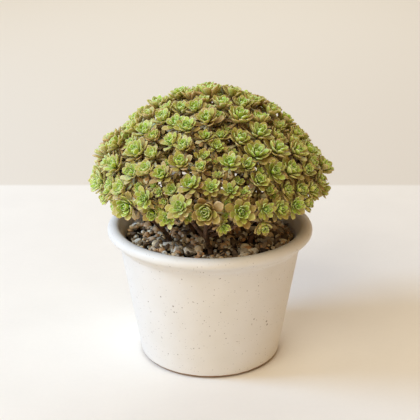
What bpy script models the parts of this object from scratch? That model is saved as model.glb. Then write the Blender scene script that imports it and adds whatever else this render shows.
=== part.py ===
"""Potted succulent: a dome of small leaf rosettes on branching stems, in a glazed pot topped with grit.

Lengths are in millimetres up to the point where a mesh is finished, and metres after it.
The frame is +Z up, the front is -Y, and the origin is the pot's centre on the surface it stands on.
"""
import math
import random
from dataclasses import dataclass

import bmesh
import bpy
from mathutils import Matrix, Vector

MM = 0.001
CLEARANCE = 0.35
SLIVER = 0.18

# The pot: a tapered wall with a rolled rim, a foot ring and a drain hole.
RIM_RADIUS = 60.0
POT_HEIGHT = 80.5
WALL_FOOT_RADIUS = 41.3
WALL_TAPER = 0.167
WALL_THICKNESS = 3.7
RIM_UNDERSIDE = 73.2
# The roll from its underside over the top to the inside: how far in from the rim, and the height.
RIM_ROLL = ((2.4, 74.2), (0.5, 75.9), (0.0, 77.6), (1.1, 79.6), (3.7, POT_HEIGHT), (6.4, 79.6))
ROLL_INSIDE_HEIGHT = 76.5
ROLL_INSIDE_EASE = 0.8
FOOT_OUTER_RADIUS = 40.2
FOOT_INNER_RADIUS = 33.5
FOOT_BEVEL = 1.4
FOOT_DEPTH = 1.5
FLOOR_TOP = 6.0
FLOOR_CORNER_HEIGHT = 8.6
FLOOR_CORNER_WIDTH = 2.2
DRAIN_RADIUS = 5.5
POT_SIDES = 44

# What fills the pot: soil, and a layer of grit that reaches up to a little under the rim.
SOIL_TOP = 69.5
SOIL_SIDES = 24
GRIT_VALLEY = 71.6
GRIT_RISE = (1.3, 3.0)
GRIT_INSET = 0.30
PEBBLE_TILT = 0.18
PEBBLE_SPACING_INSIDE = 9.0
PEBBLE_SPACING_OUTSIDE = 6.6
PEBBLE_REACH = 30.0
PEBBLE_TRIES = 900
SHORT_PEBBLE_EDGE = 1.3
SHELTERED_RADIUS = 26.0
STEM_FOOT = 60.3
HOLE_RADIUS = 3.1
HOLE_SIDES = 6

# The canopy: a dome with straightened shoulders that curls in a little below its widest height.
# The power is 2 for an ellipsoid, and lower where the shoulders fall away straighter.
CANOPY_RADIUS = 64.8
CANOPY_CENTRE = 108.0
CANOPY_RISE = 50.5
CANOPY_DROP = 30.0
DOME_POWER = 1.6
SKIRT_POWER = 2.0
CANOPY_HEM = 97.5
HEM_RAGGEDNESS = 4.0
OPEN_FRONT_HEIGHT = 104.0
OPEN_FRONT_BEARINGS = (-95.0, 95.0)
LOWEST_POLAR = 108.0
SEED = 71

# The rosettes: how they are spread over the canopy, eased apart, leant and sunk.
SPREAD_ROSETTES = 196
SMALLEST_ROSETTE = 3.8
ROSETTE_RADII = (4.8, 7.8)
USUAL_ROSETTE = 5.6
BEARING_JITTER = 4.0
POLAR_JITTER = 3.0
CROWDED_SHARE = 0.62
PERSONAL_SHARE = 0.98
EASING_ROUNDS = 60
NEAR_ROSETTES = 5
ROOM_SHARE = 0.98
SPARE_ROOM = 1.25
LEAN = 0.24
LIFT = 0.22
SINKING = (-3.2, 1.2)

# A rosette's leaves: the widths are in millimetres and the rest in lengths of its longest leaf.
LEAF_REACH = 1.28
LEAF_GAP = 0.12
STALK_DEPTH = 0.40
BROAD_ROSETTE = 7.8
SLIGHT_ROSETTE = 5.0
REACH_RANGE = (0.92, 1.04)
DROOP_RANGE = (-0.06, 0.08)
OUTER_TIP_HEIGHT = 0.10
OUTER_SHOULDER = (0.30, 0.86, 0.12)
OUTER_NOTCH = (0.64, -0.10)
INNER_BASE = (0.34, 0.06)
INNER_NOTCH = (0.38, 0.22)
INNER_TIP_RANGE = (0.56, 0.64)
INNER_TIP_HEIGHT = 0.40
BUD_HEIGHT = 0.34

# Every stem fills a cone of the canopy, and all the cones meet at this depth under the plant.
CONE_APEX = 38.0
CONE_GAP = 0.45
CONE_MARGIN = 0.6
UPPER_STEMS = 3
LOWER_STEMS = 6
UPPER_STEM_FOOT = 10.4
LOWER_STEM_FOOT = 27.0
STEM_BEND_HEIGHT = 76.0
STEM_RADIUS = 2.3
LIMB_RADIUS = 1.6
TWIG_RADIUS = 0.95
STEM_SIDES = 5
TRUNK_TIP = 0.8
FIRST_FORK = 0.50
FORK_STEP = 0.055
ROSETTES_A_LIMB = 4.2
LIMB_TIP_GROWTH = 1.3
TWIG_ROOT_GROWTH = 0.75
TWIG_ROOTS = (0.70, 0.36)


@dataclass
class Rosette:
    """One head of leaves: where it sits, which way it faces and how wide it is."""

    place: Vector
    radius: float
    stem: int = 0
    facing: Vector = None
    spin: float = 0.0
    fixed: bool = False


def clear_scene():
    """Removes whatever the scene holds."""
    for item in list(bpy.data.objects):
        bpy.data.objects.remove(item, do_unlink=True)


def finish_material(name, colour, roughness):
    """Makes a Principled material with one colour, given as linear red, green and blue."""
    material = bpy.data.materials.new(name)
    material.use_nodes = True
    shader = material.node_tree.nodes["Principled BSDF"]
    shader.inputs["Base Color"].default_value = (*colour, 1.0)
    shader.inputs["Roughness"].default_value = roughness
    shader.inputs["Metallic"].default_value = 0.0
    return material


def object_from_bmesh(name, bm):
    """Turns a finished bmesh into an object."""
    bmesh.ops.recalc_face_normals(bm, faces=bm.faces)
    mesh = bpy.data.meshes.new(name)
    bm.to_mesh(mesh)
    bm.free()
    item = bpy.data.objects.new(name, mesh)
    bpy.context.scene.collection.objects.link(item)
    return item


def smooth(item, angle):
    """Shades an object smooth except across edges sharper than the angle in degrees."""
    item.data.shade_smooth()
    item.data.set_sharp_from_angle(angle=math.radians(angle))


def joined(name, operation, body, others, solver):
    """Joins or cuts a body with other solids, applies the result and removes what was used."""
    group = bpy.data.collections.new(name + "_group")
    bpy.context.scene.collection.children.link(group)
    for other in others:
        bpy.context.scene.collection.objects.unlink(other)
        group.objects.link(other)
    modifier = body.modifiers.new("join", "BOOLEAN")
    modifier.operation = operation
    modifier.operand_type = "COLLECTION"
    modifier.collection = group
    modifier.solver = solver
    bpy.context.view_layer.update()
    evaluated = body.evaluated_get(bpy.context.evaluated_depsgraph_get())
    mesh = bpy.data.meshes.new_from_object(evaluated)
    for other in [*others, body]:
        bpy.data.objects.remove(other, do_unlink=True)
    bpy.data.collections.remove(group)
    mesh.name = name
    item = bpy.data.objects.new(name, mesh)
    bpy.context.scene.collection.objects.link(item)
    return item


def without_slivers(item):
    """Shrinks the hair-fine edges that a union leaves, each to a point, and drops loose scraps."""
    bm = bmesh.new()
    bm.from_mesh(item.data)
    bmesh.ops.triangulate(bm, faces=bm.faces)
    for _ in range(4):
        short = [edge for edge in bm.edges if edge.calc_length() < SLIVER]
        for edge in sorted(short, key=lambda edge: edge.calc_length()):
            if edge.is_valid and collapsible(edge):
                one, other = edge.verts
                bmesh.ops.pointmerge(bm, verts=[one, other], merge_co=(one.co + other.co) / 2)
    islands = connected_parts(bm)
    for island in islands[1:]:
        bmesh.ops.delete(bm, geom=island, context="VERTS")
    bm.to_mesh(item.data)
    bm.free()


def collapsible(edge):
    """Whether an edge's ends share just two neighbours, so that the surface stays closed."""
    one, other = edge.verts
    around_one = {link.other_vert(one) for link in one.link_edges}
    around_other = {link.other_vert(other) for link in other.link_edges}
    return len(around_one & around_other) == 2


def connected_parts(bm):
    """The vertices of each separate part of a mesh, the largest part first."""
    parts = []
    unseen = set(bm.verts)
    for start in bm.verts:
        if start not in unseen:
            continue
        unseen.discard(start)
        part = [start]
        for vert in part:
            for edge in vert.link_edges:
                near = edge.other_vert(vert)
                if near in unseen:
                    unseen.discard(near)
                    part.append(near)
        parts.append(part)
    return sorted(parts, key=len, reverse=True)


def finished(item, material, smooth_angle):
    """Brings a joined object to metres, and gives it its material and shading."""
    item.data.transform(Matrix.Scale(MM, 4))
    item.data.materials.clear()
    item.data.materials.append(material)
    smooth(item, smooth_angle)
    return item


def wall_outside(height):
    """Outer radius of the pot's straight wall at a height."""
    return WALL_FOOT_RADIUS + WALL_TAPER * height


def wall_inside(height):
    """Inner radius of the pot's wall at a height."""
    return wall_outside(height) - WALL_THICKNESS


def turned(name, profile, sides):
    """Spins a closed profile of (radius, height) points round the upright axis."""
    bm = bmesh.new()
    points = [bm.verts.new((radius, 0.0, height)) for radius, height in profile]
    edges = [bm.edges.new((points[i - 1], points[i])) for i in range(len(points))]
    bmesh.ops.spin(
        bm,
        geom=points + edges,
        cent=(0, 0, 0),
        axis=(0, 0, 1),
        dvec=(0, 0, 0),
        angle=math.tau,
        steps=sides,
        use_merge=True,
    )
    bmesh.ops.remove_doubles(bm, verts=bm.verts, dist=0.001)
    return object_from_bmesh(name, bm)


def build_pot():
    """The pot, one turned and glazed piece."""
    profile = [
        (FOOT_INNER_RADIUS, 0.0),
        (FOOT_OUTER_RADIUS, 0.0),
        (wall_outside(FOOT_BEVEL), FOOT_BEVEL),
        (wall_outside(RIM_UNDERSIDE), RIM_UNDERSIDE),
        *((RIM_RADIUS - inset, height) for inset, height in RIM_ROLL),
        (wall_inside(ROLL_INSIDE_HEIGHT) + ROLL_INSIDE_EASE, ROLL_INSIDE_HEIGHT),
        (wall_inside(FLOOR_CORNER_HEIGHT), FLOOR_CORNER_HEIGHT),
        (wall_inside(FLOOR_CORNER_HEIGHT) - FLOOR_CORNER_WIDTH, FLOOR_TOP),
        (DRAIN_RADIUS, FLOOR_TOP),
        (DRAIN_RADIUS, FOOT_DEPTH),
        (FOOT_INNER_RADIUS - 1.0, FOOT_DEPTH),
    ]
    pot = turned("pot", profile, POT_SIDES)
    return finished(pot, finish_material("glazed_stoneware", (0.80, 0.77, 0.69), 0.55), 40)


def stem_feet():
    """Where the stems stand in the soil: one in the middle, an inner ring and an outer ring."""
    feet = [Vector((0.0, 0.0, 0.0))]
    for count, radius, turn in (
        (UPPER_STEMS, UPPER_STEM_FOOT, 25.0),
        (LOWER_STEMS, LOWER_STEM_FOOT, 0.0),
    ):
        for i in range(count):
            bearing = math.radians(turn + 360.0 * i / count)
            feet.append(Vector((radius * math.sin(bearing), -radius * math.cos(bearing), 0.0)))
    return feet


def hole_cutters(low, high):
    """Upright six-sided cutters for the holes that the stems stand in."""
    cutters = []
    for foot in stem_feet():
        bm = bmesh.new()
        bmesh.ops.create_cone(
            bm,
            cap_ends=True,
            segments=HOLE_SIDES,
            radius1=HOLE_RADIUS,
            radius2=HOLE_RADIUS,
            depth=high - low,
            matrix=Matrix.Translation((foot.x, foot.y, (low + high) / 2)),
        )
        cutters.append(object_from_bmesh("hole", bm))
    return cutters


def build_soil():
    """The soil that fills the pot, with a blind hole for each stem."""
    bm = bmesh.new()
    rings = []
    low = FLOOR_TOP + CLEARANCE
    corner = FLOOR_CORNER_HEIGHT + CLEARANCE
    for radius, height in (
        (wall_inside(FLOOR_CORNER_HEIGHT) - FLOOR_CORNER_WIDTH - CLEARANCE, low),
        (wall_inside(corner) - CLEARANCE, corner),
        (wall_inside(SOIL_TOP) - CLEARANCE, SOIL_TOP),
    ):
        rings.append(ring_of_verts(bm, radius, height, SOIL_SIDES))
    for below, above in zip(rings, rings[1:]):
        for i in range(SOIL_SIDES):
            bm.faces.new((below[i - 1], below[i], above[i], above[i - 1]))
    bm.faces.new(rings[0])
    bm.faces.new(rings[-1])
    body = object_from_bmesh("soil_body", bm)
    cutters = hole_cutters(STEM_FOOT - CLEARANCE, SOIL_TOP + 5)
    soil = joined("potting_soil", "DIFFERENCE", body, cutters, "EXACT")
    return finished(soil, finish_material("damp_potting_soil", (0.06, 0.04, 0.025), 0.95), 30)


def ring_of_verts(bm, radius, height, sides):
    """A ring of vertices round the upright axis."""
    verts = []
    for i in range(sides):
        turn = math.tau * i / sides
        verts.append(bm.verts.new((radius * math.cos(turn), radius * math.sin(turn), height)))
    return verts


def pebble_seeds(rng, reach):
    """Scatters pebble centres over the soil, closer together where the plant leaves it open."""
    seeds = []
    misses = 0
    while misses < PEBBLE_TRIES:
        radius = reach * math.sqrt(rng.random())
        turn = math.tau * rng.random()
        spot = Vector((radius * math.cos(turn), radius * math.sin(turn)))
        wide = radius < SHELTERED_RADIUS
        spacing = PEBBLE_SPACING_INSIDE if wide else PEBBLE_SPACING_OUTSIDE
        if all((spot - seed).length > spacing for seed in seeds):
            seeds.append(spot)
            misses = 0
        else:
            misses += 1
    return seeds


def clipped(outline, point, normal):
    """Cuts a convex outline, keeping what lies on the far side of the normal."""
    kept = []
    for i, corner in enumerate(outline):
        previous = outline[i - 1]
        side = (corner - point).dot(normal)
        side_before = (previous - point).dot(normal)
        if (side < 0) != (side_before < 0):
            share = side_before / (side_before - side)
            kept.append(previous.lerp(corner, share))
        if side < 0:
            kept.append(corner)
    return kept


def pebble_outlines(seeds, radius):
    """The patch of each pebble: all that lies nearer to its centre than to any other."""
    disc = []
    for i in range(POT_SIDES):
        turn = math.tau * i / POT_SIDES
        disc.append(Vector((radius * math.cos(turn), radius * math.sin(turn))))
    outlines = []
    for seed in seeds:
        outline = disc
        for other in seeds:
            away = other - seed
            if 0 < away.length < PEBBLE_REACH:
                outline = clipped(outline, (seed + other) / 2, away)
        outlines.append(outline)
    return without_short_edges(outlines)


def without_short_edges(outlines):
    """Draws corners that lie close together into one, in every outline that shares them."""
    merged = []
    tidied = []
    for outline in outlines:
        corners = []
        for corner in outline:
            near = next((spot for spot in merged if (spot - corner).length < SHORT_PEBBLE_EDGE), None)
            if near is None:
                near = corner
                merged.append(corner)
            if near not in corners:
                corners.append(near)
        tidied.append(corners)
    return tidied


def build_grit():
    """The top dressing: pebbles as relief on one disc, with a hole through it for each stem."""
    rng = random.Random(SEED + 1)
    low = SOIL_TOP + CLEARANCE
    radius = wall_inside(low) - CLEARANCE
    seeds = pebble_seeds(rng, radius - 1.5)
    bm = bmesh.new()
    for seed, outline in zip(seeds, pebble_outlines(seeds, radius)):
        rise = rng.uniform(*GRIT_RISE)
        tilt = Vector((rng.uniform(-1, 1), rng.uniform(-1, 1))) * PEBBLE_TILT
        middle = sum(outline, Vector((0.0, 0.0))) / len(outline)
        below = []
        above = []
        for corner in outline:
            inner = corner.lerp(middle, GRIT_INSET)
            below.append(bm.verts.new((corner.x, corner.y, GRIT_VALLEY)))
            height = GRIT_VALLEY + rise + (inner - middle).dot(tilt)
            above.append(bm.verts.new((inner.x, inner.y, height)))
        bm.faces.new(above)
        for i in range(len(outline)):
            bm.faces.new((below[i - 1], below[i], above[i], above[i - 1]))
    bmesh.ops.remove_doubles(bm, verts=bm.verts, dist=0.02)
    bmesh.ops.dissolve_degenerate(bm, dist=0.02, edges=bm.edges)
    rim_edges = [edge for edge in bm.edges if edge.is_boundary]
    skirt = bmesh.ops.extrude_edge_only(bm, edges=rim_edges)["geom"]
    lowered = [item for item in skirt if isinstance(item, bmesh.types.BMVert)]
    for vert in lowered:
        vert.co.z = low
    bottom = [item for item in skirt if isinstance(item, bmesh.types.BMEdge) and item.is_boundary]
    bmesh.ops.holes_fill(bm, edges=bottom)
    body = object_from_bmesh("grit_body", bm)
    cutters = hole_cutters(low - 5, POT_HEIGHT)
    grit = joined("grit_top_dressing", "DIFFERENCE", body, cutters, "EXACT")
    return finished(grit, finish_material("mixed_grit", (0.16, 0.13, 0.10), 0.9), 25)


def canopy_point(bearing, polar):
    """A point of the canopy: the bearing turns from the front towards +X, polar is 0 straight up."""
    upright = math.cos(math.radians(polar))
    half, power = canopy_half(upright)
    flat = math.sin(math.radians(polar)) ** (2 / power)
    rise = math.copysign(abs(upright) ** (2 / power), upright)
    turn = math.radians(bearing)
    return Vector((
        CANOPY_RADIUS * flat * math.sin(turn),
        -CANOPY_RADIUS * flat * math.cos(turn),
        CANOPY_CENTRE + half * rise,
    ))


def canopy_half(height):
    """How far the canopy reaches above or below its widest height, and the power of its curve."""
    return (CANOPY_RISE, DOME_POWER) if height > 0 else (CANOPY_DROP, SKIRT_POWER)


def canopy_normal(place):
    """The direction straight out of the canopy near a place."""
    height = place.z - CANOPY_CENTRE
    half, power = canopy_half(height)
    beside = place.to_2d()
    out = beside.normalized() * (beside.length / CANOPY_RADIUS) ** (power - 1) / CANOPY_RADIUS
    up = math.copysign((abs(height) / half) ** (power - 1) / half, height)
    return Vector((out.x, out.y, up)).normalized()


def on_canopy(place):
    """Brings a place back to the canopy's surface, and up to its hem where it has sunk below."""
    height = place.z - CANOPY_CENTRE
    half, power = canopy_half(height)
    beside = place.to_2d().length / CANOPY_RADIUS
    reach = (beside**power + (abs(height) / half) ** power) ** (1 / power)
    centre = Vector((0, 0, CANOPY_CENTRE))
    landed = centre + (place - centre) / reach
    bearing = math.atan2(place.x, -place.y)
    hem = CANOPY_HEM + HEM_RAGGEDNESS * math.sin(3 * bearing + 1.0) * math.sin(2 * bearing + 0.4)
    landed.z = max(landed.z, hem)
    return landed


# Bearing and polar angle in degrees and radius in millimetres of the rosettes that give the front
# its look: the big open ones low in front, the ones that hang at the sides, and those round the top.
PLACED_ROSETTES = (
    (-2, 84, 8.6), (15, 86, 7.4), (26, 104, 5.4), (6, 102, 4.2), (-21, 96, 5.4),
    (-30, 79, 5.6), (-10, 67, 6.4), (23, 69, 7.4), (11, 56, 6.4), (-5, 57, 6.0),
    (-18, 55, 6.8), (-36, 63, 6.4), (31, 52, 7.6), (4, 45, 6.6), (24, 42, 6.6),
    (-6, 29, 7.2), (35, 30, 7.6), (-52, 55, 7.2), (39, 64, 6.6), (72, 68, 6.4),
    (76, 92, 5.2), (54, 94, 5.2), (-67, 97, 4.8), (-64, 67, 6.6), (-62, 44, 6.6),
    (-38, 34, 6.2), (0, 68, 5.0), (10, 70, 5.0), (-20, 71, 5.0), (42, 75, 5.4),
    (-55, 99, 4.6),
)


def stem_directions():
    """The middle direction of each stem's cone, from the cones' common apex."""
    apex = Vector((0, 0, CONE_APEX))
    aims = [canopy_point(0, 0)]
    aims += [canopy_point(25 + 360 * i / UPPER_STEMS, 43) for i in range(UPPER_STEMS)]
    aims += [canopy_point(360 * i / LOWER_STEMS, 84) for i in range(LOWER_STEMS)]
    return [(aim - apex).normalized() for aim in aims]


def stem_of(place, directions):
    """The stem whose cone a place lies in."""
    away = place - Vector((0, 0, CONE_APEX))
    return max(range(len(directions)), key=lambda i: away.dot(directions[i]))


def cone_walls(stem, directions):
    """The planes that bound a stem's cone, each as a point and its inward normal."""
    apex = Vector((0, 0, CONE_APEX))
    own = directions[stem]
    return [(apex, (own - other).normalized()) for i, other in enumerate(directions) if i != stem]


def neighbour_walls(rosette, rosettes):
    """The planes between a rosette and those beside it, each shared out by their radii."""
    walls = []
    for other in rosettes:
        away = other.place - rosette.place
        reach = rosette.radius + other.radius
        if other is not rosette and away.length < 1.6 * reach:
            share = rosette.radius / reach
            walls.append((rosette.place.lerp(other.place, share), -away.normalized()))
    return walls


def kept_inside(place, walls, margin):
    """Moves a place in until it is the margin clear of every wall."""
    moved = place.copy()
    for _ in range(8):
        for anchor, inward in walls:
            short = margin - (moved - anchor).dot(inward)
            if short > 0:
                moved += inward * short
    return moved


def even_polars(count):
    """Polar angles, from the top down, that share the canopy's surface out evenly."""
    band_height = 0.5
    areas = []
    for band in range(int(LOWEST_POLAR / band_height)):
        polar = (band + 0.5) * band_height
        low = canopy_point(0, polar + band_height / 2)
        high = canopy_point(0, polar - band_height / 2)
        areas.append((polar, (high - low).length * -canopy_point(0, polar).y))
    share = sum(area for _, area in areas) / count
    polars = []
    passed = 0.0
    for polar, area in areas:
        passed += area
        while passed > (len(polars) + 0.5) * share:
            polars.append(polar)
    return polars


def spread_rosettes(rng):
    """The rosettes' first places: the placed ones, then a golden-angle spiral with some jitter."""
    rosettes = []
    for bearing, polar, radius in PLACED_ROSETTES:
        rosettes.append(Rosette(on_canopy(canopy_point(bearing, polar)), radius, fixed=True))
    golden = math.degrees(math.pi * (3 - math.sqrt(5)))
    for i, polar in enumerate(even_polars(SPREAD_ROSETTES)):
        bearing = golden * i + rng.uniform(-1, 1) * BEARING_JITTER
        polar = max(0.0, polar + rng.uniform(-1, 1) * POLAR_JITTER)
        place = on_canopy(canopy_point(bearing, polar))
        radius = rng.triangular(*ROSETTE_RADII, USUAL_ROSETTE)
        crowded = any(
            (place - other.place).length < CROWDED_SHARE * (radius + other.radius)
            for other in rosettes
            if other.fixed
        )
        if not crowded:
            rosettes.append(Rosette(place, radius))
    return rosettes


def in_open_front(rosette):
    """Whether a spread rosette has come low in front, where the grit must show under the placed ones."""
    bearing = math.degrees(math.atan2(rosette.place.x, -rosette.place.y))
    low, high = OPEN_FRONT_BEARINGS
    return not rosette.fixed and rosette.place.z < OPEN_FRONT_HEIGHT and low < bearing < high


def plan_rosettes():
    """Places every rosette, eases them apart, and gives each its stem, facing and turn."""
    rng = random.Random(SEED)
    directions = stem_directions()
    rosettes = spread_rosettes(rng)
    for rosette in rosettes:
        rosette.stem = stem_of(rosette.place, directions)
    walls = [cone_walls(stem, directions) for stem in range(len(directions))]
    for _ in range(EASING_ROUNDS):
        for i, one in enumerate(rosettes):
            for other in rosettes[:i]:
                apart = one.place - other.place
                short = PERSONAL_SHARE * (one.radius + other.radius) - apart.length
                if short <= 0:
                    continue
                step = apart.normalized() * short * 0.5
                if not one.fixed:
                    one.place += step
                if not other.fixed:
                    other.place -= step
        for rosette in rosettes:
            rosette.place = kept_inside(rosette.place, walls[rosette.stem], CONE_MARGIN * rosette.radius)
            rosette.place = on_canopy(rosette.place)
    rosettes = [rosette for rosette in rosettes if not in_open_front(rosette)]
    radii = [roomy_radius(rosette, rosettes) for rosette in rosettes]
    for rosette, radius in zip(rosettes, radii):
        rosette.radius = radius
        out = canopy_normal(rosette.place)
        lean = Vector((rng.uniform(-1, 1), rng.uniform(-1, 1), rng.uniform(-1, 1))) * LEAN
        rosette.facing = (out + Vector((0, 0, LIFT)) + lean).normalized()
        rosette.spin = rng.uniform(0, math.tau)
        rosette.place += out * rng.uniform(*SINKING)
    centre_canopy(rosettes)
    return rosettes


def roomy_radius(rosette, rosettes):
    """The radius that fills a rosette's room: what lies between it and the ones nearest to it."""
    shares = []
    for other in rosettes:
        if other is not rosette:
            apart = (rosette.place - other.place).length
            shares.append(apart * rosette.radius / (rosette.radius + other.radius))
    shares.sort()
    room = sum(shares[:NEAR_ROSETTES]) / NEAR_ROSETTES * ROOM_SHARE
    grows = not rosette.fixed and rosette.place.z > OPEN_FRONT_HEIGHT
    wanted = max(rosette.radius, room) if grows else rosette.radius
    return max(SMALLEST_ROSETTE, min(wanted, SPARE_ROOM * shares[0]))


def centre_canopy(rosettes):
    """Shifts the canopy sideways so that it reaches as far to each side of the pot's axis."""
    for axis in (0, 1):
        high = max(rosette.place[axis] + rosette.radius for rosette in rosettes)
        low = min(rosette.place[axis] - rosette.radius for rosette in rosettes)
        for rosette in rosettes:
            rosette.place[axis] -= (high + low) / 2


def stitched(bm, lower, upper):
    """Fills the band between two closed rings of (angle, vertex) with triangles."""
    steps = len(lower) + len(upper)
    i = j = 0
    for _ in range(steps):
        next_lower = lower[(i + 1) % len(lower)][0] + math.tau * ((i + 1) // len(lower))
        next_upper = upper[(j + 1) % len(upper)][0] + math.tau * ((j + 1) // len(upper))
        here_lower = lower[i % len(lower)][1]
        here_upper = upper[j % len(upper)][1]
        if j == len(upper) or (i < len(lower) and next_lower <= next_upper):
            bm.faces.new((here_lower, lower[(i + 1) % len(lower)][1], here_upper))
            i += 1
        else:
            bm.faces.new((here_lower, upper[(j + 1) % len(upper)][1], here_upper))
            j += 1


def under_leaves(rosette):
    """The point under a rosette where its twig meets the leaves."""
    return rosette.place - rosette.facing * STALK_DEPTH * rosette.radius * LEAF_REACH


def rosette_solid(rosette, root, thickness, cone, neighbours, rng):
    """A rosette of two whorls of leaves with its twig, as one closed solid.

    The thickness is the twig's radius at the root and under the leaves.
    """
    size = rosette.radius * LEAF_REACH
    broad = rosette.radius > BROAD_ROSETTE
    leaves = 6 if broad else 5 if rosette.radius > SLIGHT_ROSETTE else 4
    turned_up = rosette.facing.to_track_quat("Z", "Y").to_matrix()
    frame = turned_up @ Matrix.Rotation(rosette.spin, 3, "Z")
    bm = bmesh.new()

    def ring(corners):
        """Adds vertices from (angle, radius, height) in leaf lengths, clear of what is beside."""
        made = []
        for angle, radius, height in corners:
            local = Vector((radius * math.cos(angle), radius * math.sin(angle), height)) * size
            spot = kept_inside(rosette.place + frame @ local, neighbours, LEAF_GAP)
            made.append((angle, bm.verts.new(kept_inside(spot, cone, CONE_GAP / 2))))
        return made

    step = math.tau / leaves
    outer = []
    inner_base = []
    inner = []
    for i in range(leaves):
        turn = i * step
        reach = rng.uniform(*REACH_RANGE)
        droop = rng.uniform(*DROOP_RANGE)
        aside, shoulder, shoulder_height = OUTER_SHOULDER
        if broad:
            outer.append((turn - aside * step, shoulder * reach, shoulder_height + droop))
        outer.append((turn, reach, OUTER_TIP_HEIGHT + droop))
        if broad:
            outer.append((turn + aside * step, shoulder * reach, shoulder_height + droop))
        outer.append((turn + 0.5 * step, *OUTER_NOTCH))
        inner_base.append((turn, *INNER_BASE))
        inner.append((turn, *INNER_NOTCH))
        inner.append((turn + 0.5 * step, rng.uniform(*INNER_TIP_RANGE), INNER_TIP_HEIGHT))
    stalk_ring = ring([(math.tau * k / 3, thickness[1] / size, -STALK_DEPTH) for k in range(3)])
    outer_ring = ring(outer)
    base_ring = ring(inner_base)
    inner_ring = ring(inner)
    stitched(bm, stalk_ring, outer_ring)
    stitched(bm, outer_ring, base_ring)
    stitched(bm, base_ring, inner_ring)
    bud = ring([(0.0, 0.0, BUD_HEIGHT)])[0][1]
    for i in range(len(inner_ring)):
        bm.faces.new((inner_ring[i - 1][1], inner_ring[i][1], bud))
    middle = sum((vert.co for _, vert in stalk_ring), Vector()) / 3
    growth = thickness[0] / thickness[1]
    root_ring = [bm.verts.new((vert.co - middle) * growth + root) for _, vert in stalk_ring]
    for i in range(3):
        bm.faces.new((root_ring[i - 1], root_ring[i], stalk_ring[i][1], stalk_ring[i - 1][1]))
    bm.faces.new(root_ring)
    bmesh.ops.triangulate(bm, faces=bm.faces)
    return object_from_bmesh("rosette", bm)


def stem_solid(path, radii):
    """A stem of a few straight lengths, as a closed tube that thins from foot to tip."""
    bm = bmesh.new()
    rings = []
    for i, point in enumerate(path):
        before = path[max(i - 1, 0)]
        after = path[min(i + 1, len(path) - 1)]
        turn = Vector((0, 0, 1)).rotation_difference((after - before).normalized())
        ring = []
        for k in range(STEM_SIDES):
            angle = math.tau * k / STEM_SIDES
            spoke = Vector((math.cos(angle), math.sin(angle), 0)) * radii[i]
            ring.append(bm.verts.new(point + turn @ spoke))
        rings.append(ring)
    for below, above in zip(rings, rings[1:]):
        for k in range(STEM_SIDES):
            bm.faces.new((below[k - 1], below[k], above[k], above[k - 1]))
    bm.faces.new(rings[0])
    bm.faces.new(rings[-1])
    return object_from_bmesh("stem", bm)


def grouped(rosettes, groups):
    """Splits a stem's rosettes into groups of neighbours, one for each limb."""
    centres = [rosettes[i * len(rosettes) // groups].place.copy() for i in range(groups)]
    for _ in range(12):
        members = [[] for _ in centres]
        for rosette in rosettes:
            nearest = min(range(groups), key=lambda i: (rosette.place - centres[i]).length)
            members[nearest].append(rosette)
        for i, group in enumerate(members):
            if group:
                centres[i] = sum((rosette.place for rosette in group), Vector()) / len(group)
    return [(centre, group) for centre, group in zip(centres, members) if group]


def build_leafy_stem(index, rosettes, foot, cone, material):
    """One branching stem with its rosettes, fused into one solid."""
    own = [rosette for rosette in rosettes if rosette.stem == index]
    rng = random.Random(SEED * 100 + index)
    middle = sum((rosette.place for rosette in own), Vector()) / len(own)
    apex = Vector((0, 0, CONE_APEX))
    base = foot + Vector((0, 0, STEM_FOOT))
    bend = foot + Vector((0, 0, STEM_BEND_HEIGHT))
    groups = grouped(own, max(2, round(len(own) / ROSETTES_A_LIMB)))
    forks = [apex.lerp(middle, FIRST_FORK + FORK_STEP * k) for k in range(len(groups) + 1)]
    trunk = stem_solid(
        [base, bend, forks[0], forks[-1]],
        [STEM_RADIUS, STEM_RADIUS, STEM_RADIUS, STEM_RADIUS * TRUNK_TIP],
    )
    solids = []
    for fork, (centre, group) in zip(forks, groups):
        group.sort(key=lambda rosette: (rosette.place - centre).length)
        for k, rosette in enumerate(group):
            if k == 0:
                root = fork
                thickness = (LIMB_RADIUS, TWIG_RADIUS * LIMB_TIP_GROWTH)
            else:
                first, spread = TWIG_ROOTS
                root = fork.lerp(under_leaves(group[0]), first - spread * k / len(group))
                thickness = (TWIG_RADIUS * TWIG_ROOT_GROWTH, TWIG_RADIUS)
            neighbours = neighbour_walls(rosette, rosettes)
            solids.append(rosette_solid(rosette, root, thickness, cone, neighbours, rng))
    stem = joined(f"leafy_stem_{index + 1:02d}", "UNION", trunk, solids, "MANIFOLD")
    without_slivers(stem)
    return finished(stem, material, 20)


def build_plant():
    """Every leafy stem of the canopy."""
    directions = stem_directions()
    rosettes = plan_rosettes()
    for stem, foot in enumerate(stem_feet()):
        green = finish_material(f"leaf_green_{stem + 1:02d}", (0.30, 0.36, 0.10), 0.6)
        build_leafy_stem(stem, rosettes, foot, cone_walls(stem, directions), green)


def main():
    """Builds the pot, what fills it, and the plant."""
    clear_scene()
    build_pot()
    build_soil()
    build_grit()
    build_plant()


main()
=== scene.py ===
"""Looks of a potted succulent: a dome of small leaf rosettes on woody stems, in a glazed pot of grit.

Sizes are given in millimetres and turned to metres by MM where a mesh is made. The frame is the
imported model's own: +Z up, front -Y, and the origin at the pot's centre on the surface it stands on.
"""
import logging
import math
import random
from collections.abc import Callable, Iterable, Iterator, Sequence
from contextlib import contextmanager
from dataclasses import dataclass, field
from enum import Enum

import bmesh
import bpy
import numpy as np
from mathutils import Matrix, Vector


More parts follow.
